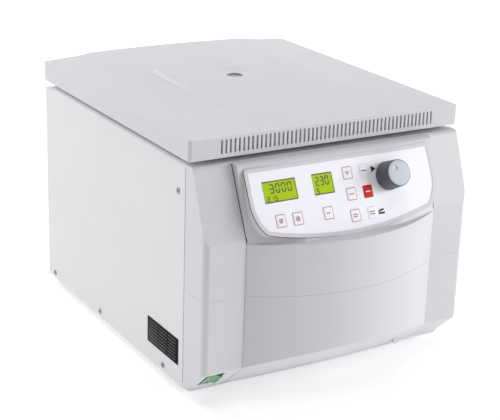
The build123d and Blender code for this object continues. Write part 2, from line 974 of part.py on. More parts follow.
with BuildPart() as hinge_brackets:
    for side in (-1, 1):
        for hand in (-1, 1):
            ear_x = side * hinge_spacing + hand * (arm_width / 2 + key_gap + ear_width / 2)
            with BuildSketch(Plane.YZ.offset(ear_x - ear_width / 2)):
                with Locations((hinge_y, hinge_z)):
                    Circle(hinge_eye_radius)
                with Locations((hinge_y, ledge_top)):
                    Rectangle(2 * hinge_eye_radius, hinge_height, align=(Align.CENTER, Align.MIN))
                with Locations((hinge_y, hinge_z)):
                    Circle(hinge_pin_radius, mode=Mode.SUBTRACT)
            extrude(amount=ear_width)
write(hinge_brackets.part, "hinge_brackets")

pin_length = arm_width + 2 * (key_gap + ear_width + pin_overhang)
with BuildPart() as hinge_pins:
    for side in (-1, 1):
        with BuildSketch(Plane.YZ.offset(side * hinge_spacing - pin_length / 2)):
            with Locations((hinge_y, hinge_z)):
                Circle(hinge_pin_radius)
        extrude(amount=pin_length)
write(hinge_pins.part, "hinge_pins")

with BuildPart() as lid_hinge_arms:
    for side in (-1, 1):
        with BuildSketch(Plane.YZ.offset(side * hinge_spacing - arm_width / 2)):
            with Locations((hinge_y, hinge_z)):
                Circle(hinge_eye_radius)
            with Locations((hinge_y, hinge_z)):
                Rectangle(arm_neck, lid_bottom - hinge_z, align=(Align.CENTER, Align.MIN))
            with Locations((hinge_y, lid_bottom)):
                Rectangle(arm_reach, ear_width, align=(Align.MAX, Align.MAX))
            with Locations((hinge_y, hinge_z)):
                Circle(hinge_pin_radius + fit, mode=Mode.SUBTRACT)
        extrude(amount=arm_width)
write(lid_hinge_arms.part, "lid_hinge_arms")

with BuildPart() as lid_spring_tabs:
    for side in (-1, 1):
        with BuildSketch(Plane.YZ.offset(side * spring_spacing - tab_width / 2)):
            with BuildLine():
                Polyline(
                    (spring_y - tab_width, spring_z),
                    (spring_y + tab_width, spring_z),
                    (spring_y + tab_width, lid_bottom),
                    (spring_y - spring_drop, lid_bottom),
                    (spring_y - tab_width, lid_bottom - hinge_height),
                    close=True,
                )
            make_face()
            with Locations((spring_y, spring_z)):
                Circle(tab_width)
        extrude(amount=tab_width)
        with BuildSketch(Plane.YZ.offset(side * spring_spacing - fork_width / 2)):
            with Locations((spring_y, spring_z)):
                Circle(spring_pin_radius)
        extrude(amount=fork_width)
write(lid_spring_tabs.part, "lid_spring_tabs")


def gas_rod(side):
    """Rod of one gas spring with the fork at its upper end."""
    with BuildPart() as rod:
        for hand in (-1, 1):
            cheek_x = side * spring_spacing + hand * (fork_width - cheek_width) / 2
            with BuildSketch(Plane.YZ.offset(cheek_x - cheek_width / 2)):
                with Locations((spring_y, spring_z)):
                    Circle(fork_depth / 2)
                with Locations((spring_y, spring_z)):
                    Rectangle(fork_depth, fork_length, align=(Align.CENTER, Align.MAX))
                with Locations((spring_y, spring_z)):
                    Circle(spring_pin_radius + fit, mode=Mode.SUBTRACT)
            extrude(amount=cheek_width)
        with BuildSketch(Plane.XY.offset(spring_z - fork_length)):
            with Locations((side * spring_spacing, spring_y)):
                Rectangle(fork_width, fork_depth)
        extrude(amount=fork_length - fork_depth / 2 - cheek_width)
        with BuildSketch(Plane.XY.offset(spring_z - fork_length)):
            with Locations((side * spring_spacing, spring_y)):
                Circle(rod_radius)
        extrude(amount=-rod_length)
    return rod.part


cylinder_top = spring_z - cylinder_drop
cylinder_bottom = cylinder_top - cylinder_length
spring_foot_z = cylinder_bottom - spring_foot_drop / 2
slot_height = 2 * (spring_foot_pin_radius + slot_clearance)


def gas_cylinder(side):
    """Cylinder of one gas spring, bored for its rod, with the slotted eye at its foot."""
    with BuildPart() as cylinder:
        with BuildSketch(Plane.XY.offset(cylinder_bottom)):
            with Locations((side * spring_spacing, spring_y)):
                Circle(cylinder_radius)
        extrude(amount=cylinder_length)
        with BuildSketch(Plane.XY.offset(cylinder_bottom + cylinder_radius)):
            with Locations((side * spring_spacing, spring_y)):
                Circle(rod_radius + fit)
        extrude(amount=cylinder_length, mode=Mode.SUBTRACT)
        with BuildSketch(Plane.YZ.offset(side * spring_spacing - tab_width / 2)):
            with Locations((spring_y, cylinder_bottom)):
                Rectangle(
                    spring_foot_slot + cylinder_radius, spring_foot_drop, align=(Align.CENTER, Align.MAX)
                )
            with Locations((spring_y, spring_foot_z)):
                SlotOverall(spring_foot_slot, slot_height, mode=Mode.SUBTRACT)
        extrude(amount=tab_width)
    return cylinder.part


for side, name in ((-1, "left"), (1, "right")):
    write(gas_rod(side), "gas_rod_" + name)
    write(gas_cylinder(side), "gas_cylinder_" + name)

foot_pin_y = spring_y - tab_width / 2
foot_ear_height = 2 * cylinder_radius
with BuildPart() as gas_spring_brackets:
    for side in (-1, 1):
        for hand in (-1, 1):
            ear_x = side * spring_spacing + hand * (tab_width / 2 + ear_width)
            with BuildSketch(Plane.YZ.offset(ear_x - ear_width / 2)):
                with Locations((rear_inside, spring_foot_z)):
                    Rectangle(
                        rear_inside - foot_pin_y + cylinder_radius,
                        foot_ear_height,
                        align=(Align.MAX, Align.CENTER),
                    )
            extrude(amount=ear_width)
        with BuildSketch(Plane.YZ.offset(side * spring_spacing - tab_width / 2 - ear_width)):
            with Locations((foot_pin_y, spring_foot_z)):
                Circle(spring_foot_pin_radius)
        extrude(amount=tab_width + 2 * ear_width)
        with BuildSketch(across(rear_inside)):
            with Locations((side * spring_spacing, spring_foot_z)):
                Rectangle(spring_bracket_width, foot_ear_height)
        extrude(amount=ear_width)
write(gas_spring_brackets.part, "gas_spring_brackets")


# ================================================================ lid
def lid_loft(wall, bottom):
    """Solid of the lid's outside, shrunk by a wall; its top swells from a flat front to a crowned back."""
    half = half_lid - wall
    edge = lid_edge_top - wall
    turn_y = lid_front + lid_flat_front
    back_y = lid_back - wall
    foot = (crown_foot_half, crown_foot_rise)
    shoulder = (crown_shoulder_half, crown_shoulder_rise)

    def strip(y, swell, outer, inner):
        """Upright strip of the lid's cross-section between two places, each with its rise at the back."""
        with BuildSketch(across(y)) as face:
            with BuildLine():
                Polyline(
                    (outer[0], bottom),
                    (outer[0], edge + swell * outer[1]),
                    (inner[0], edge + swell * inner[1]),
                    (inner[0], bottom),
                    close=True,
                )
            make_face()
        return face.sketch.faces()[0]

    with BuildSketch(across(back_y)) as arched:
        with BuildLine():
            Polyline(
                (-shoulder[0], edge + shoulder[1]),
                (-shoulder[0], bottom),
                (shoulder[0], bottom),
                (shoulder[0], edge + shoulder[1]),
            )
            ThreePointArc(
                (-shoulder[0], edge + shoulder[1]), (0, edge + crown_rise), (shoulder[0], edge + shoulder[1])
            )
        make_face()

    with BuildPart() as slopes:
        for outer, inner in (((half, 0), foot), (foot, shoulder)):
            loft(sections=[strip(turn_y, 0, outer, inner), strip(back_y, 1, outer, inner)], ruled=True)
        mirror(about=Plane.YZ)

    with BuildPart() as body:
        add(slopes.part)
        flat = strip(turn_y, 0, (-shoulder[0], 0), (shoulder[0], 0))
        loft(sections=[flat, arched.sketch.faces()[0]], ruled=True)
        with BuildSketch(Plane.XY.offset(bottom)):
            with Locations((0, lid_front + wall)):
                Rectangle(2 * half, lid_flat_front - wall, align=(Align.CENTER, Align.MIN))
        extrude(amount=edge - bottom)
        with BuildSketch(Plane.XY.offset(bottom)):
            with Locations((0, (lid_front + lid_back) / 2)):
                RectangleRounded(2 * half, lid_depth - 2 * wall, lid_corner_radius - wall)
        extrude(amount=lid_edge_top + crown_rise - bottom, mode=Mode.INTERSECT)
    return body.part


lid_outside = lid_loft(0, lid_bottom)
lid_inside = lid_loft(shell, lid_bottom)


def swell_at(y):
    """Height of the lid's middle above its edge at a given Y."""
    flat_end = lid_front + lid_flat_front
    return crown_rise * max(0, (y - flat_end) / (lid_back - flat_end))


def plateau_face(margin, front_rise, back_rise):
    """Rounded face of the plateau, lying along the lid's slope at a rise for each end."""
    front = lid_front + plateau_front + margin
    back = lid_front + plateau_back - margin
    front_z = lid_edge_top + swell_at(front) + front_rise
    back_z = lid_edge_top + swell_at(back) + back_rise
    slope = math.atan2(back_z - front_z, back - front)
    plane = Plane(
        origin=(0, (front + back) / 2, (front_z + back_z) / 2),
        x_dir=(1, 0, 0),
        z_dir=(0, -math.sin(slope), math.cos(slope)),
    )
    with BuildSketch(plane) as face:
        RectangleRounded(
            2 * (plateau_half_width - margin), (back - front) / math.cos(slope), plateau_corner - margin / 2
        )
    return face.sketch.faces()[0]


port_y = chamber_y
port_top = lid_edge_top + swell_at(port_y) + plateau_rise * (chamber_back - plateau_front) / (
    plateau_back - plateau_front
)
dish_slope = (dish_radius - dish_floor_radius) / dish_depth
with BuildPart() as lid_cover:
    add(lid_outside)
    add(lid_inside, mode=Mode.SUBTRACT)
    loft(
        sections=[
            plateau_face(0, -shell / 2, -shell / 2),
            plateau_face(plateau_edge, plateau_front_rise, plateau_rise),
        ],
        ruled=True,
    )
    with Locations((0, port_y, port_top - dish_depth)):
        Cone(
            dish_floor_radius,
            dish_floor_radius + dish_slope * plateau_rise,
            plateau_rise,
            align=(Align.CENTER, Align.CENTER, Align.MIN),
            mode=Mode.SUBTRACT,
        )
    with BuildSketch(Plane.XY.offset(lid_bottom)):
        with Locations((0, port_y)):
            Circle(port_radius)
    extrude(amount=lid_edge_height + crown_rise, mode=Mode.SUBTRACT)
    with BuildSketch(across(lid_front + shell)):
        with Locations((0, lid_edge_top - grille_drop)):
            with GridLocations(grille_pitch, 1, grille_slots, 1):
                Rectangle(grille_slot_width, grille_height)
    extrude(amount=shell, mode=Mode.SUBTRACT)
write(lid_cover.part, "lid_cover")

port_seat = lid_edge_top + swell_at(port_y) - shell
with BuildPart() as lid_inner_plate:
    with BuildSketch(Plane.XY.offset(lid_bottom)):
        with Locations((0, (lid_front + lid_back) / 2)):
            RectangleRounded(
                lid_width - 2 * shell, lid_depth - 2 * shell, lid_corner_radius - shell
            )
        with Locations((0, port_y)):
            Circle(port_radius + window_flange, mode=Mode.SUBTRACT)
    extrude(amount=plate_sheet)
write(lid_inner_plate.part, "lid_inner_plate")

with BuildPart() as lid_window:
    with BuildSketch(Plane.XY.offset(port_seat - window_sheet - window_drop)):
        with Locations((0, port_y)):
            Circle(port_radius + window_flange)
    extrude(amount=window_sheet)
    with BuildSketch(Plane.XY.offset(port_seat - window_drop)):
        with Locations((0, port_y)):
            Circle(port_radius - fit)
    extrude(amount=shell)
write(lid_window.part, "lid_window")

with BuildPart() as lid_strikers:
    for side in (-1, 1):
        with BuildSketch(across(latch_y + striker_sheet / 2)):
            with Locations((side * striker_spacing, lid_bottom)):
                Rectangle(striker_width, striker_length, align=(Align.CENTER, Align.MAX))
            with Locations((side * striker_spacing, latch_z + hook_height)):
                Rectangle(striker_width - striker_sheet, striker_window, mode=Mode.SUBTRACT)
        extrude(amount=striker_sheet)
write(lid_strikers.part, "lid_strikers")


# ================================================================ lid lock
block_x = striker_spacing + latch_block_offset
shaft_end = block_x + latch_block_width / 2 + shaft_overhang
with BuildPart() as latch_bearings:
    for side in (-1, 1):
        with BuildSketch(Plane.YZ.offset(side * block_x - latch_block_width / 2)):
            with Locations((latch_y, latch_z - 2 * latch_shaft_radius)):
                Rectangle(
                    4 * latch_shaft_radius,
                    deck_bottom - latch_z + 2 * latch_shaft_radius,
                    align=(Align.CENTER, Align.MIN),
                )
            with Locations((latch_y, latch_z)):
                Circle(latch_shaft_radius + running_gap, mode=Mode.SUBTRACT)
        extrude(amount=latch_block_width)
write(latch_bearings.part, "latch_bearings")

motor_start = shaft_end + latch_motor_gap
with BuildPart() as latch_motor:
    with BuildSketch(Plane.YZ.offset(motor_start)):
        with Locations((latch_y, latch_z - latch_motor_size / 2)):
            Rectangle(
                latch_motor_size,
                deck_bottom - latch_z + latch_motor_size / 2,
                align=(Align.CENTER, Align.MIN),
            )
    extrude(amount=latch_motor_length)
    with BuildSketch(Plane.YZ.offset(motor_start)):
        with Locations((latch_y, latch_z)):
            Circle(latch_shaft_radius + running_gap)
    extrude(amount=latch_motor_bore, mode=Mode.SUBTRACT)
    # Above the gearbox only a strap reaches the deck.
    with BuildSketch(Plane.YZ.offset(motor_start + latch_block_width)):
        with Locations((latch_y, latch_z + latch_motor_size / 2)):
            Rectangle(latch_motor_size, latch_motor_size, align=(Align.CENTER, Align.MIN))
    extrude(amount=latch_motor_length, mode=Mode.SUBTRACT)
write(latch_motor.part, "latch_motor")

hook_lean = math.radians(hook_rest_angle)
with BuildPart() as latch_hooks:
    with BuildSketch(Plane.YZ.offset(-shaft_end)):
        with Locations((latch_y, latch_z)):
            Circle(latch_shaft_radius)
    extrude(amount=shaft_end + motor_start + latch_motor_bore - shaft_overhang)
    for side in (-1, 1):
        hook_plane = Plane(
            origin=(side * striker_spacing - hook_width / 2, latch_y, latch_z),
            x_dir=(0, math.cos(hook_lean), math.sin(hook_lean)),
            z_dir=(1, 0, 0),
        )
        with BuildSketch(hook_plane):
            Circle(hook_hub_radius)
            with Locations((-hook_reach, 0)):
                Rectangle(
                    hook_sheet, hook_height + hook_nose_height / 2, align=(Align.MAX, Align.MIN)
                )
            with Locations((-hook_reach, hook_height)):
                Rectangle(hook_nose, hook_nose_height, align=(Align.MIN, Align.CENTER))
        extrude(amount=hook_width)
write(latch_hooks.part, "latch_hooks")


# ================================================================ drive
def disc(radius, bottom, height, mode=Mode.ADD):
    """Cylinder on the chamber's axis."""
    with BuildPart(mode=Mode.PRIVATE) as round_part:
        with BuildSketch(Plane.XY.offset(bottom)):
            with Locations((0, chamber_y)):
                Circle(radius)
        extrude(amount=height)
    add(round_part.part, mode=mode)


plate_bottom = base_top + damper_height
motor_bottom = plate_bottom + mount_plate_sheet
motor_top = motor_bottom + motor_height
lower_bearing_z = motor_bottom + motor_wall
upper_bearing_z = motor_top - bearing_width
damper_offset = mount_plate_size / 2 - damper_inset

with BuildPart() as rubber_dampers:
    with BuildSketch(Plane.XY.offset(base_top)):
        with Locations((0, chamber_y)):
            with GridLocations(2 * damper_offset, 2 * damper_offset, 2, 2):
                Circle(damper_radius)
    extrude(amount=damper_height)
write(rubber_dampers.part, "rubber_dampers")

with BuildPart() as motor_mount_plate:
    with BuildSketch(Plane.XY.offset(plate_bottom)):
        with Locations((0, chamber_y)):
            RectangleRounded(mount_plate_size, mount_plate_size, damper_radius)
    extrude(amount=mount_plate_sheet)
write(motor_mount_plate.part, "motor_mount_plate")

hollow_bottom = lower_bearing_z + bearing_width + motor_wall / 2
hollow_top = upper_bearing_z - motor_wall / 2
with BuildPart() as motor_housing:
    disc(motor_radius + motor_flange, motor_bottom, motor_wall)
    disc(motor_radius, motor_bottom, motor_height)
    disc(motor_radius - motor_wall, hollow_bottom, hollow_top - hollow_bottom, Mode.SUBTRACT)
    disc(bearing_radius, lower_bearing_z, bearing_width, Mode.SUBTRACT)
    disc(bearing_radius, upper_bearing_z, bearing_width, Mode.SUBTRACT)
    disc(shaft_radius + bore_clearance, lower_bearing_z, motor_height, Mode.SUBTRACT)
write(motor_housing.part, "motor_housing")

with BuildPart() as motor_bearings:
    for bearing_z in (lower_bearing_z, upper_bearing_z):
        disc(bearing_radius, bearing_z, bearing_width)
        disc(shaft_radius + running_gap, bearing_z, bearing_width, Mode.SUBTRACT)
write(motor_bearings.part, "motor_bearings")

shaft_bottom = lower_bearing_z + bore_clearance
hub_top = rotor_height + hub_height / 2
shaft_top = hub_top + nut_height - bore_clearance
with BuildPart() as motor_shaft:
    disc(shaft_radius, shaft_bottom, shaft_top - shaft_bottom)
    disc(armature_radius, hollow_bottom + armature_gap, hollow_top - hollow_bottom - 2 * armature_gap)
write(motor_shaft.part, "motor_shaft")


# ================================================================ rotor
bar_inner = carrier_half_length + carrier_gap
bar_bottom = rotor_height - yoke_bar_height / 2
with BuildPart() as rotor_yoke:
    with BuildSketch(Plane.XY.offset(bar_bottom)):
        for side in (-1, 1):
            with Locations((0, chamber_y + side * (bar_inner + yoke_bar_width / 2))):
                Rectangle(2 * yoke_half_length, yoke_bar_width)
        with Locations((0, chamber_y)):
            Rectangle(web_width, 2 * bar_inner)
    extrude(amount=yoke_bar_height)
    disc(hub_radius, rotor_height - hub_height / 2, hub_height)
    disc(shaft_radius + running_gap, rotor_height - hub_height / 2, hub_height, Mode.SUBTRACT)
    for hand in (-1, 1):
        with BuildSketch(across(chamber_y + hand * bar_inner)):
            with Locations((-trunnion_reach, rotor_height), (trunnion_reach, rotor_height)):
                Circle(trunnion_radius)
        extrude(amount=hand * (carrier_gap + carrier_wall + key_gap))
write(rotor_yoke.part, "rotor_yoke")

with BuildPart() as rotor_nut:
    disc(nut_radius, hub_top, nut_height)
    disc(shaft_radius + running_gap, hub_top, nut_height, Mode.SUBTRACT)
    nut_rims = rotor_nut.edges().filter_by(GeomType.CIRCLE)
    chamfer(nut_rims.group_by(Axis.Z)[-1].sort_by(SortBy.RADIUS)[-1], nut_chamfer)
write(rotor_nut.part, "rotor_nut")

tray_bottom = rotor_height - carrier_drop


def plate_carrier(side):
    """Swing-out carrier for one plate: a walled tray that hangs by two ears from the yoke's trunnions."""
    tray_x = side * trunnion_reach
    with BuildPart() as carrier:
        with BuildSketch(Plane.XY.offset(tray_bottom)):
            with Locations((tray_x, chamber_y)):
                RectangleRounded(2 * carrier_half_width, 2 * carrier_half_length, carrier_wall)
        extrude(amount=carrier_side_height)
        for hand in (-1, 1):
            wall_y = chamber_y + hand * (carrier_half_length - carrier_wall / 2)
            with BuildSketch(across(wall_y + carrier_wall / 2)):
                with BuildLine():
                    Polyline(
                        (tray_x - carrier_half_width / 2, tray_bottom + carrier_wall),
                        (tray_x + carrier_half_width / 2, tray_bottom + carrier_wall),
                        (tray_x + carrier_ear_radius, rotor_height),
                        (tray_x - carrier_ear_radius, rotor_height),
                        close=True,
                    )
                make_face()
                with Locations((tray_x, rotor_height)):
                    Circle(carrier_ear_radius)
                    Circle(trunnion_radius + fit, mode=Mode.SUBTRACT)
            extrude(amount=carrier_wall)
        with BuildSketch(Plane.XY.offset(tray_bottom + carrier_wall)):
            with Locations((tray_x, chamber_y)):
                Rectangle(
                    2 * (carrier_half_width - carrier_wall), 2 * (carrier_half_length - carrier_wall)
                )
        extrude(amount=carrier_side_height, mode=Mode.SUBTRACT)
    return carrier.part


write(plate_carrier(-1), "plate_carrier_left")
write(plate_carrier(1), "plate_carrier_right")


# ================================================================ mains parts
rocker_pivot = switch_plane.from_local_coords((0, 0, -rocker_pivot_depth))
slope_up = switch_plane.y_dir
cavity_half = rocker_half_length + rocker_sway + rocker_gap
cavity_depth = rocker_pivot_depth + rocker_half_length + rocker_gap
with BuildPart() as power_switch_body:
    with BuildSketch(switch_plane):
        Rectangle(switch_width, switch_length)
    extrude(amount=-switch_depth)
    with BuildSketch(switch_plane):
        Rectangle(2 * cavity_half, 2 * (rocker_half_width + rocker_gap))
    extrude(amount=-cavity_depth, mode=Mode.SUBTRACT)
write(power_switch_body.part, "power_switch_body")

rocker_lean = math.radians(rocker_tilt)
rocker_across = Vector(math.cos(rocker_lean), 0, 0) + switch_plane.z_dir * math.sin(rocker_lean)
rocker_plane = Plane(origin=rocker_pivot, x_dir=rocker_across, z_dir=-slope_up)
rocker_top = rocker_pivot_depth + rocker_rise
with BuildPart() as power_rocker:
    with BuildSketch(rocker_plane):
        with BuildLine():
            Polyline(
                (-rocker_half_length, 0),
                (-rocker_half_length, rocker_top),
                (0, rocker_top - rocker_rise - rocker_dip),
                (rocker_half_length, rocker_top),
                (rocker_half_length, 0),
            )
            ThreePointArc((-rocker_half_length, 0), (0, -rocker_half_length), (rocker_half_length, 0))
        make_face()
    extrude(amount=rocker_half_width, both=True)
write(power_rocker.part, "power_rocker")

inlet_back = rear_face + inlet_proud
with BuildPart() as power_inlet:
    with BuildSketch(across(inlet_back)):
        with Locations(inlet_place):
            Rectangle(inlet_width, inlet_height)
    extrude(amount=inlet_proud)
    with BuildSketch(across(rear_face)):
        with Locations(inlet_place):
            Rectangle(inlet_body_width, inlet_body_height)
    extrude(amount=inlet_depth)
    with BuildSketch(across(inlet_back)):
        with Locations(inlet_place):
            Rectangle(inlet_socket_width, inlet_socket_height)
    extrude(amount=inlet_proud + inlet_depth - inlet_floor, mode=Mode.SUBTRACT)
    with BuildSketch(across(rear_face - inlet_depth + inlet_floor)):
        with Locations(inlet_place):
            with GridLocations(inlet_pin_spacing, 1, 3, 1):
                Rectangle(inlet_pin_width, inlet_pin_height)
    extrude(amount=-(inlet_depth - 2 * inlet_floor))
write(power_inlet.part, "power_inlet")

board_y = lid_front + power_board_back
board_z = base_top + standoff_height
board_top = board_z + board_sheet
with BuildPart() as power_board:
    with BuildSketch(Plane.XY.offset(base_top)):
        with Locations((power_board_across, board_y)):
            with GridLocations(
                power_board_width - 2 * standoff_inset, power_board_length - 2 * standoff_inset, 2, 2
            ):
                Circle(standoff_radius)
    extrude(amount=standoff_height)
    with BuildSketch(Plane.XY.offset(board_z)):
        with Locations((power_board_across, board_y)):
            Rectangle(power_board_width, power_board_length)
    extrude(amount=board_sheet)
    with BuildSketch(Plane.XY.offset(board_top)):
        with Locations((power_board_across, board_y + power_board_length / 4)):
            Rectangle(transformer_size, transformer_size)
    extrude(amount=transformer_height)
    with BuildSketch(Plane.XY.offset(board_top)):
        with Locations((power_board_across, board_y - power_board_length / 4)):
            with GridLocations(3 * capacitor_radius, 1, 2, 1):
                Circle(capacitor_radius)
    extrude(amount=capacitor_height)
write(power_board.part, "power_board")
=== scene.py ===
"""Looks of a microplate centrifuge: case, covers, panel, lid, chamber, rotor and mains parts."""

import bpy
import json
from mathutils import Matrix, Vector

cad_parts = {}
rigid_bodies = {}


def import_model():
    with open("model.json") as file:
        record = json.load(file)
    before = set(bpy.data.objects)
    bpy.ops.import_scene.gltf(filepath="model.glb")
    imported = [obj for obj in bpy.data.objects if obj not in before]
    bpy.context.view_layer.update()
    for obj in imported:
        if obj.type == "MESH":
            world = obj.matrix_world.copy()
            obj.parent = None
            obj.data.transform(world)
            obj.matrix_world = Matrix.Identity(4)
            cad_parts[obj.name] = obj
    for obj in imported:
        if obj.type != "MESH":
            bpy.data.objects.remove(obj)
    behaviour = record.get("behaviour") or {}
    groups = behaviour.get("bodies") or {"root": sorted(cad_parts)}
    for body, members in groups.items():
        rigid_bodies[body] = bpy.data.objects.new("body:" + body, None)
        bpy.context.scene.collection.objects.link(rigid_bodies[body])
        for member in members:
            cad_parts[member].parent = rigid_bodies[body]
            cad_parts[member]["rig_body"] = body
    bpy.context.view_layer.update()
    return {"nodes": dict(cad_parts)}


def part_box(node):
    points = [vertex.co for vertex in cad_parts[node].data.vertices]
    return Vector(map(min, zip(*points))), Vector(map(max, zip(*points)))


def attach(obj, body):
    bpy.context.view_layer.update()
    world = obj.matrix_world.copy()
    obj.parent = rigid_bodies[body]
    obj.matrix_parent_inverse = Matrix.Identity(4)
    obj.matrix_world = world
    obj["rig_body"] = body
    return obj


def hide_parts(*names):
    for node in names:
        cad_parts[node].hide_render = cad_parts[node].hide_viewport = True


bl_info = {
    "name": "Microplate centrifuge",
    "version": (1, 0, 0),
    "blender": (4, 5, 0),
    "location": "3D View > Sidebar > Centrifuge",
    "description": "Dresses the solid model of a microplate centrifuge",
    "category": "Object",
}

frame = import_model()

import json
import math

import bmesh
import bpy
from bpy.props import FloatProperty, PointerProperty, StringProperty
from mathutils import Matrix, Vector, geometry

MM = 0.001
CREASE = 16  # degrees; faces of a curve meet at less than this


# ------------------------------ sizes and colours a user may change
class PanelSizes(bpy.types.PropertyGroup):
    """Where the sloping control panel lies, and the sizes of what is printed on it"""
    top_y: FloatProperty(
        name="Top edge Y", description="Y of the panel's upper edge", default=-0.2002,
        unit="LENGTH")
    top_z: FloatProperty(
        name="Top edge Z", description="Height of the panel's upper edge", default=0.2932,
        unit="LENGTH")
    lean: FloatProperty(
        name="Lean", description="How far the panel leans back", default=math.atan(0.486),
        subtype="ANGLE")
    key_width: FloatProperty(
        name="Key width", description="Width of a key", default=0.014, unit="LENGTH")
    key_height: FloatProperty(
        name="Key height", description="Height of a key", default=0.0158, unit="LENGTH")
    line: FloatProperty(
        name="Line", description="Width of a printed line", default=0.0009, unit="LENGTH")
    speed_digits: StringProperty(
        name="Speed", description="Number on the speed display", default="3000")
    time_digits: StringProperty(
        name="Time", description="Number on the time display", default="230")


class EdgeSizes(bpy.types.PropertyGroup):
    """Radii that moulded and bent edges are softened with"""
    moulded: FloatProperty(
        name="Moulded edge", description="Edge radius of a moulded cover", default=0.0012,
        unit="LENGTH")
    lid: FloatProperty(
        name="Lid edge", description="Edge radius of the lid", default=0.0016, unit="LENGTH")
    sheet: FloatProperty(
        name="Sheet edge", description="Edge radius of painted sheet", default=0.0004,
        unit="LENGTH")
    small: FloatProperty(
        name="Small part edge", description="Edge radius of small pressed and moulded parts",
        default=0.0005, unit="LENGTH")


class CaseColours(bpy.types.PropertyGroup):
    """Colours of the painted and moulded case, as sRGB hex values"""
    paint: StringProperty(
        name="Paint", description="Powder coat of the steel case", default="dcdddf")
    cover: StringProperty(name="Cover", description="Moulded front covers", default="d3d4d7")
    lid: StringProperty(name="Lid", description="Moulded lid", default="d1d2d5")
    overlay: StringProperty(
        name="Overlay", description="Film over the control panel", default="f7f6ff")
    display: StringProperty(
        name="Display", description="Lit face of the displays", default="b4d400")


class LightSizes(bpy.types.PropertyGroup):
    """Power of the studio lights"""
    left: FloatProperty(
        name="Left", description="Softbox at the left", default=25.0, unit="POWER")
    front: FloatProperty(
        name="Front", description="Softbox at the front right", default=29.0, unit="POWER")
    right: FloatProperty(
        name="Right", description="Softbox at the right", default=41.0, unit="POWER")
    top: FloatProperty(name="Top", description="Softbox above", default=21.0, unit="POWER")
    back: FloatProperty(
        name="Back", description="Softbox above and behind", default=36.0, unit="POWER")
    room: FloatProperty(name="Room", description="Brightness of the white ceiling", default=0.2)


# ------------------------------ colours and materials
def linear(hex_code):
    """Linear colour of an sRGB hex value."""
    parts = [int(hex_code[i:i + 2], 16) / 255 for i in (0, 2, 4)]
    return tuple(
        p / 12.92 if p <= 0.04045 else ((p + 0.055) / 1.055) ** 2.4 for p in parts) + (1.0,)


def darker(tone, share):
    """Tone with its brightness cut to a share."""
    return tuple(c * share for c in tone[:3]) + (1.0,)


def per_metre(size_mm):
    """Texture scale whose features are a size in millimetres apart."""
    return 1000.0 / size_mm


def add_node(tree, kind, inputs=None, **settings):
    """Add a shader node with its settings; an input is a value or another node's output."""
    made = tree.nodes.new("ShaderNode" + kind)
    for name, value in settings.items():
        setattr(made, name, value)
    for name, value in (inputs or {}).items():
        if isinstance(value, bpy.types.NodeSocket):
            tree.links.new(value, made.inputs[name])
        else:
            made.inputs[name].default_value = value
    return made


MATERIALS = {}


def start_material(name):
    """Empty material; gives its node tree and the coordinates that its patterns lie in."""
    made = bpy.data.materials.new(name)
    made.use_nodes = True
    made.node_tree.nodes.clear()
    MATERIALS[name] = made
    return made.node_tree, add_node(made.node_tree, "TexCoord").outputs["Object"]


def end_material(name, tree, height, relief_mm, strength, surface):
    """Relief, surface and output, which every material here ends with."""
    bump = add_node(tree, "Bump", {
        "Height": height, "Distance": relief_mm * MM, "Strength": strength})
    shader = add_node(tree, "BsdfPrincipled", {**surface, "Normal": bump.outputs["Normal"]})
    add_node(tree, "OutputMaterial", {"Surface": shader.outputs["BSDF"]})
    return MATERIALS[name]


def grained(name, hex_code, roughness, grain_mm, relief_mm, mottle=0.03, metallic=0.0, **shader):
    """Fine even grain, as on spark-eroded mouldings, powder coat, rubber or castings."""
    if name in MATERIALS:
        return MATERIALS[name]
    cloud_mm, spread = 90, 0.05
    tree, place = start_material(name)
    grain = add_node(tree, "TexNoise", {
        "Vector": place, "Scale": per_metre(grain_mm), "Detail": 3.0})
    cloud = add_node(tree, "TexNoise", {
        "Vector": place, "Scale": per_metre(cloud_mm), "Detail": 2.0})
    tone = linear(hex_code)
    ramp = add_node(tree, "ValToRGB", {"Fac": cloud.outputs["Fac"]})
    dark, light = ramp.color_ramp.elements
    dark.position, dark.color = 0.3, darker(tone, 1 - mottle)
    light.position, light.color = 0.7, tone
    rough = add_node(tree, "MapRange", {
        "Value": grain.outputs["Fac"],
        "To Min": max(0.0, roughness - spread), "To Max": min(1.0, roughness + spread)})
    return end_material(name, tree, grain.outputs["Fac"], relief_mm, 0.6, {
        "Base Color": ramp.outputs["Color"], "Roughness": rough.outputs["Result"],
        "Metallic": metallic, **shader})


def brushed(name, hex_code, roughness, line_mm, stretch, relief_mm):
    """Metal rubbed in one direction: lines a size apart, drawn out along the stretched axes."""
    if name in MATERIALS:
        return MATERIALS[name]
    spread = 0.07
    tree, place = start_material(name)
    drawn = add_node(tree, "Mapping", {"Vector": place, "Scale": stretch})
    lines = add_node(tree, "TexNoise", {
        "Vector": drawn.outputs["Vector"], "Scale": per_metre(line_mm), "Detail": 4.0})
    tone = linear(hex_code)
    ramp = add_node(tree, "ValToRGB", {"Fac": lines.outputs["Fac"]})
    ramp.color_ramp.elements[0].color = darker(tone, 0.86)
    ramp.color_ramp.elements[1].color = tone
    rough = add_node(tree, "MapRange", {
        "Value": lines.outputs["Fac"], "To Min": roughness - spread, "To Max": roughness + spread})
    return end_material(name, tree, lines.outputs["Fac"], relief_mm, 0.5, {
        "Base Color": ramp.outputs["Color"], "Roughness": rough.outputs["Result"], "Metallic": 1.0})


# ------------------------------ finishes of the real pieces, and the painted shade laid in seams and gaps
def powder_coated_steel():
    """Light grey powder coat on steel sheet: faint orange peel about 1.5 mm across, satin."""
    return grained(
        "powder_coated_steel", bpy.context.scene.case_colours.paint,
        roughness=0.42, grain_mm=1.5, relief_mm=0.03, mottle=0.02)


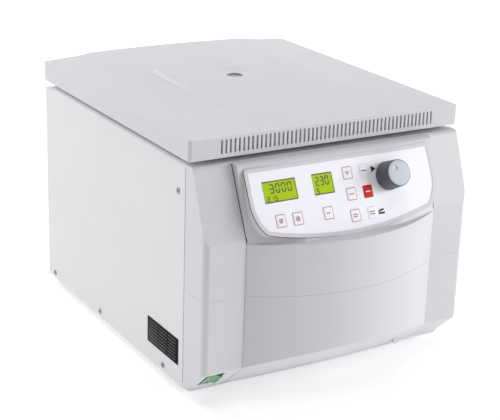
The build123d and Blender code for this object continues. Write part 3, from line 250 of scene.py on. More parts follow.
def spark_eroded_abs():
    """ABS covers moulded in a spark-eroded tool: fine matt grain of 0.6 mm."""
    return grained(
        "spark_eroded_abs", bpy.context.scene.case_colours.cover,
        roughness=0.4, grain_mm=0.6, relief_mm=0.03, mottle=0.02)


def lid_abs():
    """ABS lid from the same kind of tool, a little smoother."""
    return grained(
        "lid_abs", bpy.context.scene.case_colours.lid,
        roughness=0.45, grain_mm=0.6, relief_mm=0.03, mottle=0.02)


def polyester_film():
    """Hard-coated polyester overlay: very fine velvet texture that keeps a soft sheen."""
    return grained(
        "polyester_film", bpy.context.scene.case_colours.overlay,
        roughness=0.33, grain_mm=0.5, relief_mm=0.008, mottle=0.01, **{"Coat Weight": 0.15})


def red_print():
    """Red screen print under the film of the stop key."""
    return grained(
        "red_print", "da100c",
        roughness=0.4, grain_mm=0.5, relief_mm=0.008, mottle=0.03, **{"Specular IOR Level": 0.25})


def line_print():
    """Thin rust-red screen print of the key borders."""
    return grained(
        "line_print", "bf8f8c", roughness=0.4, grain_mm=0.4, relief_mm=0.005, mottle=0.05)


def mark_print():
    """Deep red screen print of the bars on the keys."""
    return grained(
        "mark_print", "8a4a48", roughness=0.4, grain_mm=0.4, relief_mm=0.005, mottle=0.05)


def black_print():
    """Black screen print of the small signs."""
    return grained(
        "black_print", "15161a", roughness=0.4, grain_mm=0.4, relief_mm=0.005, mottle=0.05)


def lit_display():
    """Liquid crystal display with a green back light: dots 0.8 mm apart glow through the glass."""
    name = "lit_display"
    if name in MATERIALS:
        return MATERIALS[name]
    tree, place = start_material(name)
    dots = add_node(tree, "TexVoronoi", {
        "Vector": place, "Scale": per_metre(0.8), "Randomness": 0.0}, feature="F1")
    glow = add_node(tree, "TexNoise", {"Vector": place, "Scale": per_metre(25)})
    tone = linear(bpy.context.scene.case_colours.display)
    ramp = add_node(tree, "ValToRGB", {"Fac": glow.outputs["Fac"]})
    ramp.color_ramp.elements[0].color = darker(tone, 0.8)
    ramp.color_ramp.elements[1].color = tone
    return end_material(name, tree, dots.outputs["Distance"], 0.01, 0.2, {
        "Base Color": ramp.outputs["Color"], "Roughness": 0.5, "Emission Strength": 0.08,
        "Emission Color": ramp.outputs["Color"], "Specular IOR Level": 0.15})


def display_ink():
    """Dark liquid crystal where a segment is switched on."""
    return grained(
        "display_ink", "24400a", roughness=0.35, grain_mm=0.5, relief_mm=0.005, mottle=0.05)


def display_edge():
    """Brown-orange bezel print round each display."""
    return grained(
        "display_edge", "6b5a2a", roughness=0.45, grain_mm=0.5, relief_mm=0.01, mottle=0.1)


def slate_abs():
    """Slate-grey ABS of the knob's skirt, matt from a fine spark grain."""
    return grained("slate_abs", "53565e", roughness=0.42, grain_mm=0.6, relief_mm=0.02, mottle=0.04)


def knob_insert():
    """Pale grey-blue insert pressed into the knob, smooth satin."""
    return grained(
        "knob_insert", "c3c9d4", roughness=0.3, grain_mm=0.8, relief_mm=0.006, mottle=0.03)


def stainless_sheet():
    """Stainless chamber spun on a lathe: faint rings round the rotor's axis, 3 mm apart."""
    name = "stainless_sheet"
    if name in MATERIALS:
        return MATERIALS[name]
    low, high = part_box("chamber_bowl")
    axis = (low + high) / 2
    rings_per_unit = 10 / math.pi  # a wave texture draws this many rings across one unit
    tree, place = start_material(name)
    moved = add_node(tree, "Mapping", {
        "Vector": place, "Location": (-axis.x, -axis.y, -high.z)})
    rings = add_node(tree, "TexWave", {
        "Vector": moved.outputs["Vector"], "Scale": per_metre(3) / rings_per_unit,
        "Distortion": 0.6, "Detail": 1.0}, wave_type="RINGS", rings_direction="SPHERICAL")
    tone = linear("d2d4d6")
    ramp = add_node(tree, "ValToRGB", {"Fac": rings.outputs["Fac"]})
    ramp.color_ramp.elements[0].color = darker(tone, 0.92)
    ramp.color_ramp.elements[1].color = tone
    return end_material(name, tree, rings.outputs["Fac"], 0.004, 0.4, {
        "Base Color": ramp.outputs["Color"], "Roughness": 0.36, "Metallic": 1.0})


def zinc_plated_steel():
    """Bright zinc on pressed steel brackets: soft cloudy grey metal."""
    return grained(
        "zinc_plated_steel", "b9bcc0",
        roughness=0.32, grain_mm=2.0, relief_mm=0.01, mottle=0.12, metallic=1.0)


def machined_aluminium():
    """Clear-anodised aluminium, turned or milled: cutter lines drawn 0.8 mm apart."""
    return brushed(
        "machined_aluminium", "c6c8cb",
        roughness=0.33, line_mm=0.8, stretch=(1.0, 0.1, 0.1), relief_mm=0.008)


def cast_aluminium():
    """Sand-cast aluminium housing: rough grain of about 1.2 mm."""
    return grained(
        "cast_aluminium", "9a9c9f",
        roughness=0.55, grain_mm=1.2, relief_mm=0.08, mottle=0.1, metallic=1.0)


def hard_chrome():
    """Hard chrome of the gas spring rods, near mirror."""
    return grained(
        "hard_chrome", "d5d7da",
        roughness=0.1, grain_mm=1.0, relief_mm=0.002, mottle=0.02, metallic=1.0)


def black_steel():
    """Black enamel on the gas spring cylinders, glossy with slight waviness."""
    return grained(
        "black_steel", "1b1c1f", roughness=0.28, grain_mm=4.0, relief_mm=0.02, mottle=0.1)


def nitrile_rubber():
    """Black nitrile of the gasket, dampers and feet: dull, slightly pitted."""
    return grained(
        "nitrile_rubber", "242527", roughness=0.75, grain_mm=0.9, relief_mm=0.05, mottle=0.1)


def black_nylon():
    """Black glass-filled nylon of the inlet and the switch body: fine matt grain."""
    return grained(
        "black_nylon", "17181a", roughness=0.5, grain_mm=0.7, relief_mm=0.02, mottle=0.08)


def green_polycarbonate():
    """Green polycarbonate rocker that lets some light into its skin."""
    return grained(
        "green_polycarbonate", "148048",
        roughness=0.22, grain_mm=1.5, relief_mm=0.004, mottle=0.06, **{
            "Subsurface Weight": 0.25, "Subsurface Radius": (0.001, 0.003, 0.0015),
            "Coat Weight": 0.3})


def clear_polycarbonate():
    """Clear polycarbonate of the lid's port, faintly smoked by the dark chamber behind it."""
    return grained(
        "clear_polycarbonate", "8f9296",
        roughness=0.12, grain_mm=2.0, relief_mm=0.002, mottle=0.02,
        **{"Transmission Weight": 0.7, "IOR": 1.58})


def circuit_board():
    """Solder mask over copper tracks 4 mm apart: green laminate with raised lines."""
    name = "circuit_board"
    if name in MATERIALS:
        return MATERIALS[name]
    tree, place = start_material(name)
    tracks = add_node(tree, "TexBrick", {
        "Vector": place, "Scale": per_metre(4), "Mortar Size": 0.06,
        "Color1": linear("1d6b3d"), "Color2": linear("1a6238"), "Mortar": linear("3f8f55")})
    return end_material(name, tree, tracks.outputs["Fac"], 0.03, 0.5, {
        "Base Color": tracks.outputs["Color"], "Roughness": 0.35})


def painted_gap_shade():
    """Dark grey painted shade laid in the gaps between the covers and round the panel's pad, with a
    grain of about a millimetre.
    """
    return grained("painted_gap_shade", "3a3b3f", roughness=0.85, grain_mm=1.0, relief_mm=0.05, mottle=0.1)


def cover_shade():
    """The covers' own plastic in the shade of their seam: the same fine grain, a tone darker."""
    return grained(
        "cover_shade", "adaeb2",
        roughness=0.6, grain_mm=0.6, relief_mm=0.03, mottle=0.02, **{"Specular IOR Level": 0.2})


def rule_print():
    """Grey lines that divide the bare plate, printed thin."""
    return grained("rule_print", "6f7074", roughness=0.5, grain_mm=0.6, relief_mm=0.004, mottle=0.1)


def white_acrylic():
    """Opal acrylic of the light table under the object: flat white that glows a little."""
    return grained(
        "white_acrylic", "fbfbfb", roughness=0.6, grain_mm=3.0, relief_mm=0.004, mottle=0.01,
        **{"Emission Color": (1.0, 1.0, 1.0, 1.0), "Emission Strength": 0.3})


def name_plate_film():
    """Black anodised foil of the bare rating plate, satin."""
    return grained(
        "name_plate_film", "0b0b0d",
        roughness=0.6, grain_mm=1.0, relief_mm=0.006, mottle=0.1, **{"Specular IOR Level": 0.2})


def pressed_steel_screw():
    """Nickel-plated screw heads, slightly dulled."""
    return grained(
        "pressed_steel_screw", "a2a4a8",
        roughness=0.33, grain_mm=0.8, relief_mm=0.01, mottle=0.1, metallic=1.0)


# ------------------------------ mesh tools
def dress(node_name, material):
    """Give a CAD piece its finish."""
    data = frame["nodes"][node_name].data
    data.materials.clear()
    data.materials.append(material)


def link_mesh(name, mesh_data, material, body):
    """Finish a bmesh as a piece that rides on a body."""
    data = bpy.data.meshes.new(name)
    mesh_data.to_mesh(data)
    mesh_data.free()
    piece = bpy.data.objects.new(name, data)
    bpy.context.scene.collection.objects.link(piece)
    data.materials.append(material)
    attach(piece, body)
    return piece


def smooth_by_angle(mesh_data, degrees):
    """Smooth shading, kept crisp where faces meet at more than an angle."""
    limit = math.radians(degrees)
    for face in mesh_data.faces:
        face.smooth = True
    for edge in mesh_data.edges:
        edge.smooth = not (len(edge.link_faces) == 2 and edge.calc_face_angle(0) > limit)


def softened(node_name, radius, material, steps=3, spare=None):
    """Copy of a CAD piece with rounded outer edges, which stands for it.

    spare says of a place whether the edges there stay sharp.
    """
    source = frame["nodes"][node_name]
    shape = bmesh.new()
    shape.from_mesh(source.data)
    bmesh.ops.remove_doubles(shape, verts=shape.verts, dist=1e-6)

    def spared(edge):
        return spare and any(spare(v.co) for v in edge.verts)

    bmesh.ops.dissolve_limit(
        shape, angle_limit=math.radians(0.5), use_dissolve_boundaries=False,
        verts=[v for v in shape.verts if not (spare and spare(v.co))],
        edges=[e for e in shape.edges if not spared(e)])
    weight = shape.edges.layers.float.new("bevel_weight_edge")
    for face in shape.faces:
        face.smooth = True
    for edge in shape.edges:
        inside = len(edge.link_faces) == 2
        bend = math.degrees(edge.calc_face_angle_signed(0)) if inside else 0
        if bend > CREASE and not spared(edge):
            edge[weight] = 1.0
        elif abs(bend) > CREASE:
            edge.smooth = False
    data = bpy.data.meshes.new(node_name + "_soft")
    shape.to_mesh(data)
    shape.free()
    piece = bpy.data.objects.new(node_name + "_soft", data)
    bpy.context.scene.collection.objects.link(piece)
    bevel = piece.modifiers.new("edges", "BEVEL")
    bevel.width = radius
    bevel.segments = steps
    bevel.limit_method = "WEIGHT"
    bevel.miter_outer = "MITER_ARC"
    shading = piece.modifiers.new("shading", "WEIGHTED_NORMAL")
    shading.mode = "FACE_AREA"
    shading.weight = 80
    shading.keep_sharp = True
    data.materials.append(material)
    evaluated = piece.evaluated_get(bpy.context.evaluated_depsgraph_get())
    piece.data = bpy.data.meshes.new_from_object(evaluated)
    piece.modifiers.clear()
    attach(piece, source["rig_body"])
    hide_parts(node_name)
    return piece


def panel_matrix():
    """Frame of the control panel: x across, y up the slope, z out to the user."""
    sizes = bpy.context.scene.panel_sizes
    rise, run = math.cos(sizes.lean), math.sin(sizes.lean)
    return Matrix((
        (1, 0, 0, 0),
        (0, run, -rise, sizes.top_y),
        (0, rise, run, sizes.top_z),
        (0, 0, 0, 1),
    ))


def rounded_rectangle(width, height, radius, steps=5, centre=(0, 0)):
    """Points round a rectangle with rounded corners."""
    points = []
    for corner, start in (((1, 1), 0), ((-1, 1), 90), ((-1, -1), 180), ((1, -1), 270)):
        middle_x = centre[0] + corner[0] * (width / 2 - radius)
        middle_y = centre[1] + corner[1] * (height / 2 - radius)
        for step in range(steps + 1):
            turn = math.radians(start + 90 * step / steps)
            points.append((middle_x + radius * math.cos(turn), middle_y + radius * math.sin(turn)))
    return points


def join_loops(mesh_data, low, high):
    """Faces between two closed loops of equal length."""
    count = len(low)
    for i in range(count):
        j = (i + 1) % count
        mesh_data.faces.new((low[i], low[j], high[j], high[i]))


def stacked_loops(mesh_data, loops, matrix):
    """Skin loops of equal length one after another and cap both ends; points are (x, y, z)."""
    rings = [[mesh_data.verts.new(matrix @ Vector(p)) for p in loop] for loop in loops]
    for low, high in zip(rings, rings[1:]):
        join_loops(mesh_data, low, high)
    mesh_data.faces.new(list(reversed(rings[0])))
    mesh_data.faces.new(rings[-1])


def raised_shape(mesh_data, outline, matrix, bottom, top, edge=0.0):
    """Prism of an outline with a softened upper edge."""
    centre_x = sum(x for x, y in outline) / len(outline)
    centre_y = sum(y for x, y in outline) / len(outline)
    loops = [[(x, y, bottom) for x, y in outline]]
    if edge:
        reach = max(math.hypot(x - centre_x, y - centre_y) for x, y in outline)
        shrink = 1 - edge / reach
        loops.append([(x, y, top - edge) for x, y in outline])
        loops.append([
            (centre_x + (x - centre_x) * shrink, centre_y + (y - centre_y) * shrink, top)
            for x, y in outline])
    else:
        loops.append([(x, y, top) for x, y in outline])
    stacked_loops(mesh_data, loops, matrix)


def raised_ring(mesh_data, outer, inner, matrix, bottom, top):
    """Closed flat ring between two outlines of equal length."""
    rings = [
        [mesh_data.verts.new(matrix @ Vector((x, y, z))) for x, y in loop]
        for loop, z in ((outer, bottom), (outer, top), (inner, top), (inner, bottom))
    ]
    for k in range(4):
        join_loops(mesh_data, rings[k], rings[(k + 1) % 4])


def strip(mesh_data, path, across, thick):
    """Closed band along a path of (place, side, out), where side and out are unit vectors."""
    half, deep = across / 2, thick / 2
    corners = ((-half, -deep), (half, -deep), (half, deep), (-half, deep))
    rings = []
    for place, side, out in path:
        place, side, out = Vector(place), Vector(side), Vector(out)
        rings.append([mesh_data.verts.new(place + a * side + b * out) for a, b in corners])
    for low, high in zip(rings, rings[1:]):
        join_loops(mesh_data, low, high)
    mesh_data.faces.new(list(reversed(rings[0])))
    mesh_data.faces.new(rings[-1])


def lathe(mesh_data, profile, matrix, steps=64):
    """Turn a profile of (radius, height) round a frame's z axis, closed where it meets the axis."""
    turns = [2 * math.pi * i / steps for i in range(steps)]
    rings = []
    for radius, height in profile:
        places = [(radius * math.cos(turn), radius * math.sin(turn), height) for turn in turns]
        if radius < 1e-7:
            places = [(0, 0, height)]
        rings.append([mesh_data.verts.new(matrix @ Vector(place)) for place in places])
    for low, high in zip(rings, rings[1:]):
        if len(low) == len(high):
            join_loops(mesh_data, low, high)
            continue
        for i in range(steps):
            j = (i + 1) % steps
            if len(low) == 1:
                mesh_data.faces.new((low[0], high[j], high[i]))
            else:
                mesh_data.faces.new((low[i], low[j], high[0]))


# ------------------------------ layout, in millimetres
KEY_PLACES = {  # centres in the panel's frame
    "program_key": (-100.4, -62.2), "recall_key": (-76.5, -62.8), "radius_key": (-32.4, -62.5),
    "brake_key": (6.0, -17.8), "ramp_key": (6.4, -44.4), "pulse_key": (6.0, -71.5),
    "start_key": (31.0, -18.0), "stop_key": (31.2, -44.6), "lid_key": (31.4, -71.5),
}
KEY_MARKS = {  # plain bars on the keys: height over the centre, and length
    "program_key": ((1.9, 5.6), (-0.1, 6.4), (-2.1, 4.6)),
    "recall_key": ((1.9, 5.0), (-0.1, 6.8), (-2.1, 5.8)),
    "radius_key": ((-0.1, 6.0),), "brake_key": ((1.0, 6.6), (-1.4, 4.4)),
    "ramp_key": ((0.0, 7.0),), "pulse_key": ((1.4, 6.2), (-1.2, 6.8)),
    "start_key": ((0.0, 8.0),), "stop_key": ((0.0, 7.2),), "lid_key": ((1.5, 8.4), (-1.5, 7.6)),
}
UNFRAMED_KEYS = ("start_key", "stop_key", "lid_key")
# inset, corner radius and height of the loops that a key's domed cap is skinned over
KEY_DOME = ((0, 1.4, -3.6), (0, 1.4, -0.1), (0.4, 1.3, 0.18), (2.2, 1.0, 0.3), (5.2, 0.6, 0.3))
SIGNS = (  # outlines of the arrow head at the knob, and of the bar and lens at the lid key
    ((42.1, -22.0), (49.1, -17.7), (42.1, -13.4)),
    ((40.8, -75.4), (49.6, -75.4), (50.2, -74.4), (50.0, -72.6), (40.6, -72.6), (40.3, -74.4)),
    ((40.6, -72.1), (43.0, -72.1), (49.8, -70.6), (49.2, -69.0), (46.0, -68.6), (42.4, -69.4),
     (40.8, -70.6)),
)
DISPLAY_PLACES = {"speed_display": (-93.5, -26.0, 47.0), "time_display": (-31.5, -25.9, 29.5)}
DISPLAY_HEIGHT = 26.5
DISPLAY_DISH = (  # inset, corner radius and height of the loops of a display's glass
    (0, 0.6, -0.8), (0, 0.6, -0.3), (0.6, 0.5, -0.25), (1.2, 0.5, -0.4), (2.6, 0.4, -0.4))
SEGMENTS = {
    "0": "abcdef", "1": "bc", "2": "abdeg", "3": "abcdg", "4": "bcfg",
    "5": "acdfg", "6": "acdefg", "7": "abc", "8": "abcdefg", "9": "abcdfg",
}
KNOB_PLACE = (65.7, -29.6)
KNOB_PROFILE = (  # radius and height, from the shaft's hole round the skirt to the insert's seat
    (0, 3.4), (5.8, 3.4), (5.8, 0.4), (18.1, 0.4), (18.5, 0.8), (18.3, 3.0), (17.1, 23.0),
    (17.0, 24.2), (16.8, 24.8), (16.5, 25.0), (16.2, 24.9), (16.05, 24.5), (16.05, 24.0), (0, 24.0))
SCREW_PLACES = ((-112.5, 19.0), (77.5, 19.0), (235.5, 19.0), (-148.0, 265.5))
SCREW_DOME = (
    (0, -1.0), (1.6, -1.0), (1.6, 0.0), (3.9, 0.0), (4.0, 0.3), (3.7, 0.9), (2.4, 1.26), (0, 1.34))


class MAKE_OT_case(bpy.types.Operator):
    """Finish the steel case, its deck and rear panel"""
    bl_idname = "centrifuge.case"
    bl_label = "Steel case"

    def execute(self, context):
        edge = context.scene.edge_sizes.sheet
        for name in ("left_side_panel", "right_side_panel", "base_plate", "rear_panel", "deck"):
            softened(name, edge, powder_coated_steel(), 2)
        return {"FINISHED"}


class MAKE_OT_covers(bpy.types.Operator):
    """Finish the moulded front covers and the control pod"""
    bl_idname = "centrifuge.covers"
    bl_label = "Front covers"

    def execute(self, context):
        edge = context.scene.edge_sizes.moulded
        for name in ("front_cover_lower", "front_cover_upper", "control_pod"):
            softened(name, edge, spark_eroded_abs(), 3)
        softened("release_plug", 0.6 * MM, spark_eroded_abs(), 2)
        return {"FINISHED"}


class MAKE_OT_seams(bpy.types.Operator):
    """Lay a line of painted shade along the seam across the front, and dark painted shade in the
    gaps between the covers and round the panel's pad
    """
    bl_idname = "centrifuge.seams"
    bl_label = "Seams"

    def execute(self, context):
        low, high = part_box("front_cover_lower")
        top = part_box("front_cover_upper")[1].z
        # a thin strip in the darker cover_shade plastic along the seam of the upper and lower
        # covers: painted shade
        line = bmesh.new()
        strip(line, self.front(high.x, high.y, high.z), 0.5 * MM, 0.4 * MM)
        link_mesh("seam_shade_line", line, cover_shade(), "base")
        gap_shade = bmesh.new()
        # dark strips of painted shade down the seams between side panels and pillars, and up the
        # corners where the pod meets the pillars; the pod's strip is wider at the left, where the
        # shade falls
        for hand, pod_shade_width in ((-1, 1.7), (1, 0.8)):
            x = hand * (high.x - 0.25 * MM)
            ends = [(x, high.y, z) for z in (low.z + 6 * MM, top - 4 * MM)]
            strip(gap_shade, [(end, (0, 1, 0), (hand, 0, 0)) for end in ends], 0.8 * MM, 0.6 * MM)
            strip(gap_shade, self.pod_side(hand, top), pod_shade_width * MM, 0.5 * MM)
        self.pad_shade_band(gap_shade)
        link_mesh("painted_gap_shade", gap_shade, painted_gap_shade(), "base")
        return {"FINISHED"}

    def front(self, across, back, height):
        """Path round the front at a height, so deep that its band stands 0.02 mm proud."""
        valley, pillar, edge, bow = 140.6, -216.0, -217.0, -260.5
        corner, inset, steps = 8.0, 0.18, 64
        side = -across / MM
        path = [((side + inset, back / MM), (-1, 0)), ((side + inset, pillar + corner), (-1, 0))]
        reach = corner - inset
        for turn in (30, 60, 90):
            out = (-math.cos(math.radians(turn)), -math.sin(math.radians(turn)))
            path.append(((side + corner + reach * out[0], pillar + corner + reach * out[1]), out))
        path += [
            ((-valley + inset, pillar + inset), (-0.7, -0.7)),
            ((-valley + inset, edge + inset), (-0.7, -0.7))]
        radius = (valley ** 2 + (edge - bow) ** 2) / (2 * (edge - bow))
        for step in range(1, steps):
            x = valley * (step / steps * 2 - 1)
            y = bow + radius - math.sqrt(radius ** 2 - x ** 2)
            out = (x / radius, (y - bow - radius) / radius)
            path.append(((x - inset * out[0], y - inset * out[1]), out))
        path += [((-x, y), (-out[0], out[1])) for (x, y), out in reversed(path[:7])]
        return [((x * MM, y * MM, height), (0, 0, 1), (*out, 0)) for (x, y), out in path]

    def pad_shade_band(self, gap_shade):
        """Band of painted shade round the raised pad of the panel, wider at its left and lower
        left, where the shade falls.
        """
        matrix = panel_matrix()
        to_panel = matrix.inverted()
        vertices = frame["nodes"]["panel_overlay"].data.vertices
        flat = [(to_panel @ v.co).to_2d() for v in vertices]
        outline = [flat[i] for i in geometry.convex_hull_2d(flat)]
        turns = []
        before_each = outline[-1:] + outline[:-1]
        after_each = outline[1:] + outline[:1]
        for last, here, after in zip(before_each, outline, after_each):
            before, onward = (here - last).normalized(), (after - here).normalized()
            for part in (0.0, 0.25, 0.5, 0.75, 1.0):
                along = before.lerp(onward, part).normalized()
                turns.append((here, Vector((along.y, -along.x))))
        middle = sum((here for here, out in turns), Vector((0, 0))) / len(turns)
        if sum(out.dot(here - middle) for here, out in turns) <= 0:
            turns = [(here, -out) for here, out in turns]
        # the band is painted shade: a least width all round, widened towards the left and lower
        # left
        lip, least, left_shade_width = 5.02, 0.12, 0.6
        inner, outer = [], []
        for here, out in turns:
            to_left = min(1.0, max(0.0, 0.1 - here.x / 0.12)) * (out.y < 0.3)
            inner.append(here + out * lip * MM)
            outer.append(here + out * (lip * MM + (least + left_shade_width * to_left) * MM))
        raised_ring(gap_shade, outer, inner, matrix, -0.3 * MM, 0.06 * MM)

    def pod_side(self, hand, top):
        """Path up the corner where the pod meets a pillar."""
        foot, bend, foot_y, top_y = 0.2115, 0.215, -0.216, -0.1833
        path = []
        for z, y in ((foot, foot_y), (bend, foot_y), (top - 1.5 * MM, top_y)):
            x = 0.1406 + 0.0044 * (z - 0.209) / 0.0945  # the pillars lean apart towards the top
            out = (0, -1, 0) if z < bend else (0, -0.936, 0.352)
            path.append(((hand * x, y, z), (1, 0, 0), out))
        return path


class MAKE_OT_overlay(bpy.types.Operator):
    """Finish the film over the panel, lay the seats round the keys and print the signs on it"""
    bl_idname = "centrifuge.overlay"
    bl_label = "Panel overlay"

    def execute(self, context):
        dress("panel_overlay", polyester_film())
        sizes = context.scene.panel_sizes
        matrix = panel_matrix()
        wide, tall = sizes.key_width, sizes.key_height
        seat, clearance = 1.4 * MM, 0.04 * MM
        gaps = bmesh.new()
        for u, v in KEY_PLACES.values():
            centre = (u * MM, v * MM)
            outer = rounded_rectangle(wide + seat, tall + seat, 1.6 * MM, 5, centre)
            inner = rounded_rectangle(wide + clearance, tall + clearance, 1.4 * MM, 5, centre)
            raised_ring(gaps, outer, inner, matrix, -0.3 * MM, 0.05 * MM)
        link_mesh("key_seats", gaps, polyester_film(), "base")
        signs = bmesh.new()
        for sign in SIGNS:
            outline = [(x * MM, y * MM) for x, y in sign]
            raised_shape(signs, outline, matrix, -0.1 * MM, 0.06 * MM)
        link_mesh("panel_signs", signs, black_print(), "base")
        return {"FINISHED"}


class MAKE_OT_keys(bpy.types.Operator):
    """Make the nine domed keys of the membrane panel"""
    bl_idname = "centrifuge.keys"
    bl_label = "Keys"

    def execute(self, context):
        sizes = context.scene.panel_sizes
        wide, tall, line = sizes.key_width, sizes.key_height, sizes.line
        matrix = panel_matrix()
        for name, (u, v) in KEY_PLACES.items():
            stop = name == "stop_key"
            centre = (u * MM, v * MM)
            key = bmesh.new()
            loops = []
            for inset, radius, height in KEY_DOME:
                narrower = 2 * inset * MM
                outline = rounded_rectangle(
                    wide - narrower, tall - narrower, radius * MM, 5, centre)
                loops.append([(x, y, height * MM) for x, y in outline])
            stacked_loops(key, loops, matrix)
            smooth_by_angle(key, 40)
            body = frame["nodes"][name]["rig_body"]
            piece = link_mesh(
                name + "_cap", key, red_print() if stop else polyester_film(), body)
            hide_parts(name)
            marks = bmesh.new()
            for row, reach in KEY_MARKS[name]:
                outline = rounded_rectangle(
                    reach * MM, 1.3 * MM, 0.5 * MM, 3, (u * MM, (v + row) * MM))
                raised_shape(marks, outline, matrix, 0.2 * MM, 0.34 * MM)
            ink = polyester_film() if stop else mark_print()
            link_mesh(name + "_marks", marks, ink, body)
            if name in UNFRAMED_KEYS:
                continue
            border = bmesh.new()
            outer = rounded_rectangle(wide, tall, 1.4 * MM, 5, centre)
            inner = rounded_rectangle(wide - 2 * line, tall - 2 * line, 1.0 * MM, 5, centre)
            raised_ring(border, outer, inner, matrix, -0.3 * MM, 0.27 * MM)
            link_mesh(name + "_border", border, line_print(), body)
        return {"FINISHED"}


class MAKE_OT_displays(bpy.types.Operator):
    """Make the two lit displays with their numbers"""
    bl_idname = "centrifuge.displays"
    bl_label = "Displays"

    def execute(self, context):
        sizes = context.scene.panel_sizes
        matrix = panel_matrix()
        tall = DISPLAY_HEIGHT
        for name, digits, pitch, small_digits in (
            ("speed_display", sizes.speed_digits, 8.4, "215"),
            ("time_display", sizes.time_digits, 7.0, "5"),
        ):
            u, v, wide = DISPLAY_PLACES[name]
            centre = (u * MM, v * MM)
            glass = bmesh.new()
            loops = []
            for inset, radius, rise in DISPLAY_DISH:
                outline = rounded_rectangle(
                    (wide - 2 * inset) * MM, (tall - 2 * inset) * MM, radius * MM, 3, centre)
                loops.append([(x, y, rise * MM) for x, y in outline])
            stacked_loops(glass, loops, matrix)
            smooth_by_angle(glass, 40)
            piece = link_mesh(name + "_glass", glass, lit_display(), "base")
            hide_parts(name + "_window")
            bezel = bmesh.new()
            outer = rounded_rectangle(
                (wide - 0.05) * MM, (tall - 0.05) * MM, 0.6 * MM, 3, centre)
            inner = rounded_rectangle((wide - 1.6) * MM, (tall - 3.2) * MM, 0.5 * MM, 3, centre)
            raised_ring(bezel, outer, inner, matrix, -0.5 * MM, -0.15 * MM)
            link_mesh(name + "_bezel", bezel, display_edge(), "base")
            ink = bmesh.new()
            first = u + wide / 2 - 5 - pitch * (len(digits) - 0.5)
            for place, digit in enumerate(digits):
                self.numeral(
                    ink, matrix, first + pitch * place, v + 3.6, pitch * 0.58, 10.0, 1.5, digit)
            first = u - wide / 2 + 6
            for place, digit in enumerate(small_digits):
                self.numeral(ink, matrix, first + 5.4 * place, v - 8.2, 3.2, 5.4, 1.1, digit)
            link_mesh(name + "_digits", ink, display_ink(), "base")
            dress(name + "_module", circuit_board())
        return {"FINISHED"}

    def numeral(self, ink, matrix, u, v, width, height, thick, digit):
        """Seven-segment numeral, centred at a place in millimetres."""
        left, right, half, quarter = u - width / 2, u + width / 2, height / 2, height / 4
        bars = {
            "a": (u, v + half, width, thick), "g": (u, v, width, thick),
            "d": (u, v - half, width, thick),
            "f": (left, v + quarter, thick, half - thick),
            "b": (right, v + quarter, thick, half - thick),
            "e": (left, v - quarter, thick, half - thick),
            "c": (right, v - quarter, thick, half - thick),
        }
        for bar in SEGMENTS[digit]:
            x, y, wide, tall = bars[bar]
            outline = rounded_rectangle(wide * MM, tall * MM, 0.4 * MM, 2, (x * MM, y * MM))
            raised_shape(ink, outline, matrix, -0.45 * MM, -0.34 * MM)


class MAKE_OT_knob(bpy.types.Operator):
    """Turn the speed knob with its pale insert and finger dimple"""
    bl_idname = "centrifuge.knob"
    bl_label = "Knob"

    def execute(self, context):
        place = Matrix.Translation((KNOB_PLACE[0] * MM, KNOB_PLACE[1] * MM, 0))
        matrix = panel_matrix() @ place @ Matrix.Scale(MM, 4)
        skirt = bmesh.new()
        lathe(skirt, KNOB_PROFILE, matrix)
        smooth_by_angle(skirt, 35)
        piece = link_mesh("knob_skirt", skirt, slate_abs(), "knob")
        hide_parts("knob")
        insert = bmesh.new()
        self.face(insert, matrix)
        smooth_by_angle(insert, 50)
        link_mesh("knob_insert", insert, knob_insert(), "knob")
        return {"FINISHED"}

    def face(self, insert, matrix):
        """Round face, slightly crowned, with a hollow for a fingertip at the upper left."""
        rings, steps = 30, 72
        radius, middle_height, crown = 16.0, 25.45, 0.5
        dimple_at, dimple_radius, dimple_depth = (-4.4, 6.3), 3.8, 1.0
        previous = None
        for ring in range(rings + 1):
            reach = radius * ring / rings
            row = []
            for step in range(steps if ring else 1):
                turn = 2 * math.pi * step / steps
                x, y = reach * math.cos(turn), reach * math.sin(turn)
                height = middle_height - crown * (reach / radius) ** 4
                away = math.hypot(x - dimple_at[0], y - dimple_at[1]) / dimple_radius
                if away < 1:
                    height -= dimple_depth * (1 - away * away) ** 1.5
                row.append(insert.verts.new(matrix @ Vector((x, y, height))))
            if ring == 1:
                for step in range(steps):
                    insert.faces.new((previous[0], row[step], row[(step + 1) % steps]))
            elif previous:
                for step in range(steps):
                    after = (step + 1) % steps
                    insert.faces.new((previous[step], row[step], row[after], previous[after]))
            previous = row


class MAKE_OT_lid(bpy.types.Operator):
    """Finish the lid with its inner plate, port and strikers"""
    bl_idname = "centrifuge.lid"
    bl_label = "Lid"

    def execute(self, context):
        edges = context.scene.edge_sizes
        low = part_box("lid_cover")[0]

        def in_grille(co):
            return co.y < low.y + 4 * MM and low.z + 3 * MM < co.z < low.z + 23.5 * MM

        softened("lid_cover", edges.lid, lid_abs(), 4, in_grille)
        baffle = bmesh.new()
        matrix = Matrix((
            (1, 0, 0, 0), (0, 0, -1, low.y + 5.8 * MM), (0, 1, 0, low.z + 12.5 * MM), (0, 0, 0, 1)))
        outline = rounded_rectangle(326 * MM, 19.6 * MM, 3 * MM)
        raised_shape(baffle, outline, matrix, 0.0, 1.2 * MM, 0.4 * MM)
        smooth_by_angle(baffle, 40)
        link_mesh("grille_baffle", baffle, lid_abs(), "lid")
        softened("lid_inner_plate", edges.sheet, powder_coated_steel(), 2)
        dress("lid_window", clear_polycarbonate())
        dress("hinge_pins", zinc_plated_steel())
        for name in (
            "lid_strikers", "lid_hinge_arms", "lid_spring_tabs", "hinge_brackets",
            "gas_spring_brackets",
        ):
            softened(name, edges.small, zinc_plated_steel(), 2)
        return {"FINISHED"}


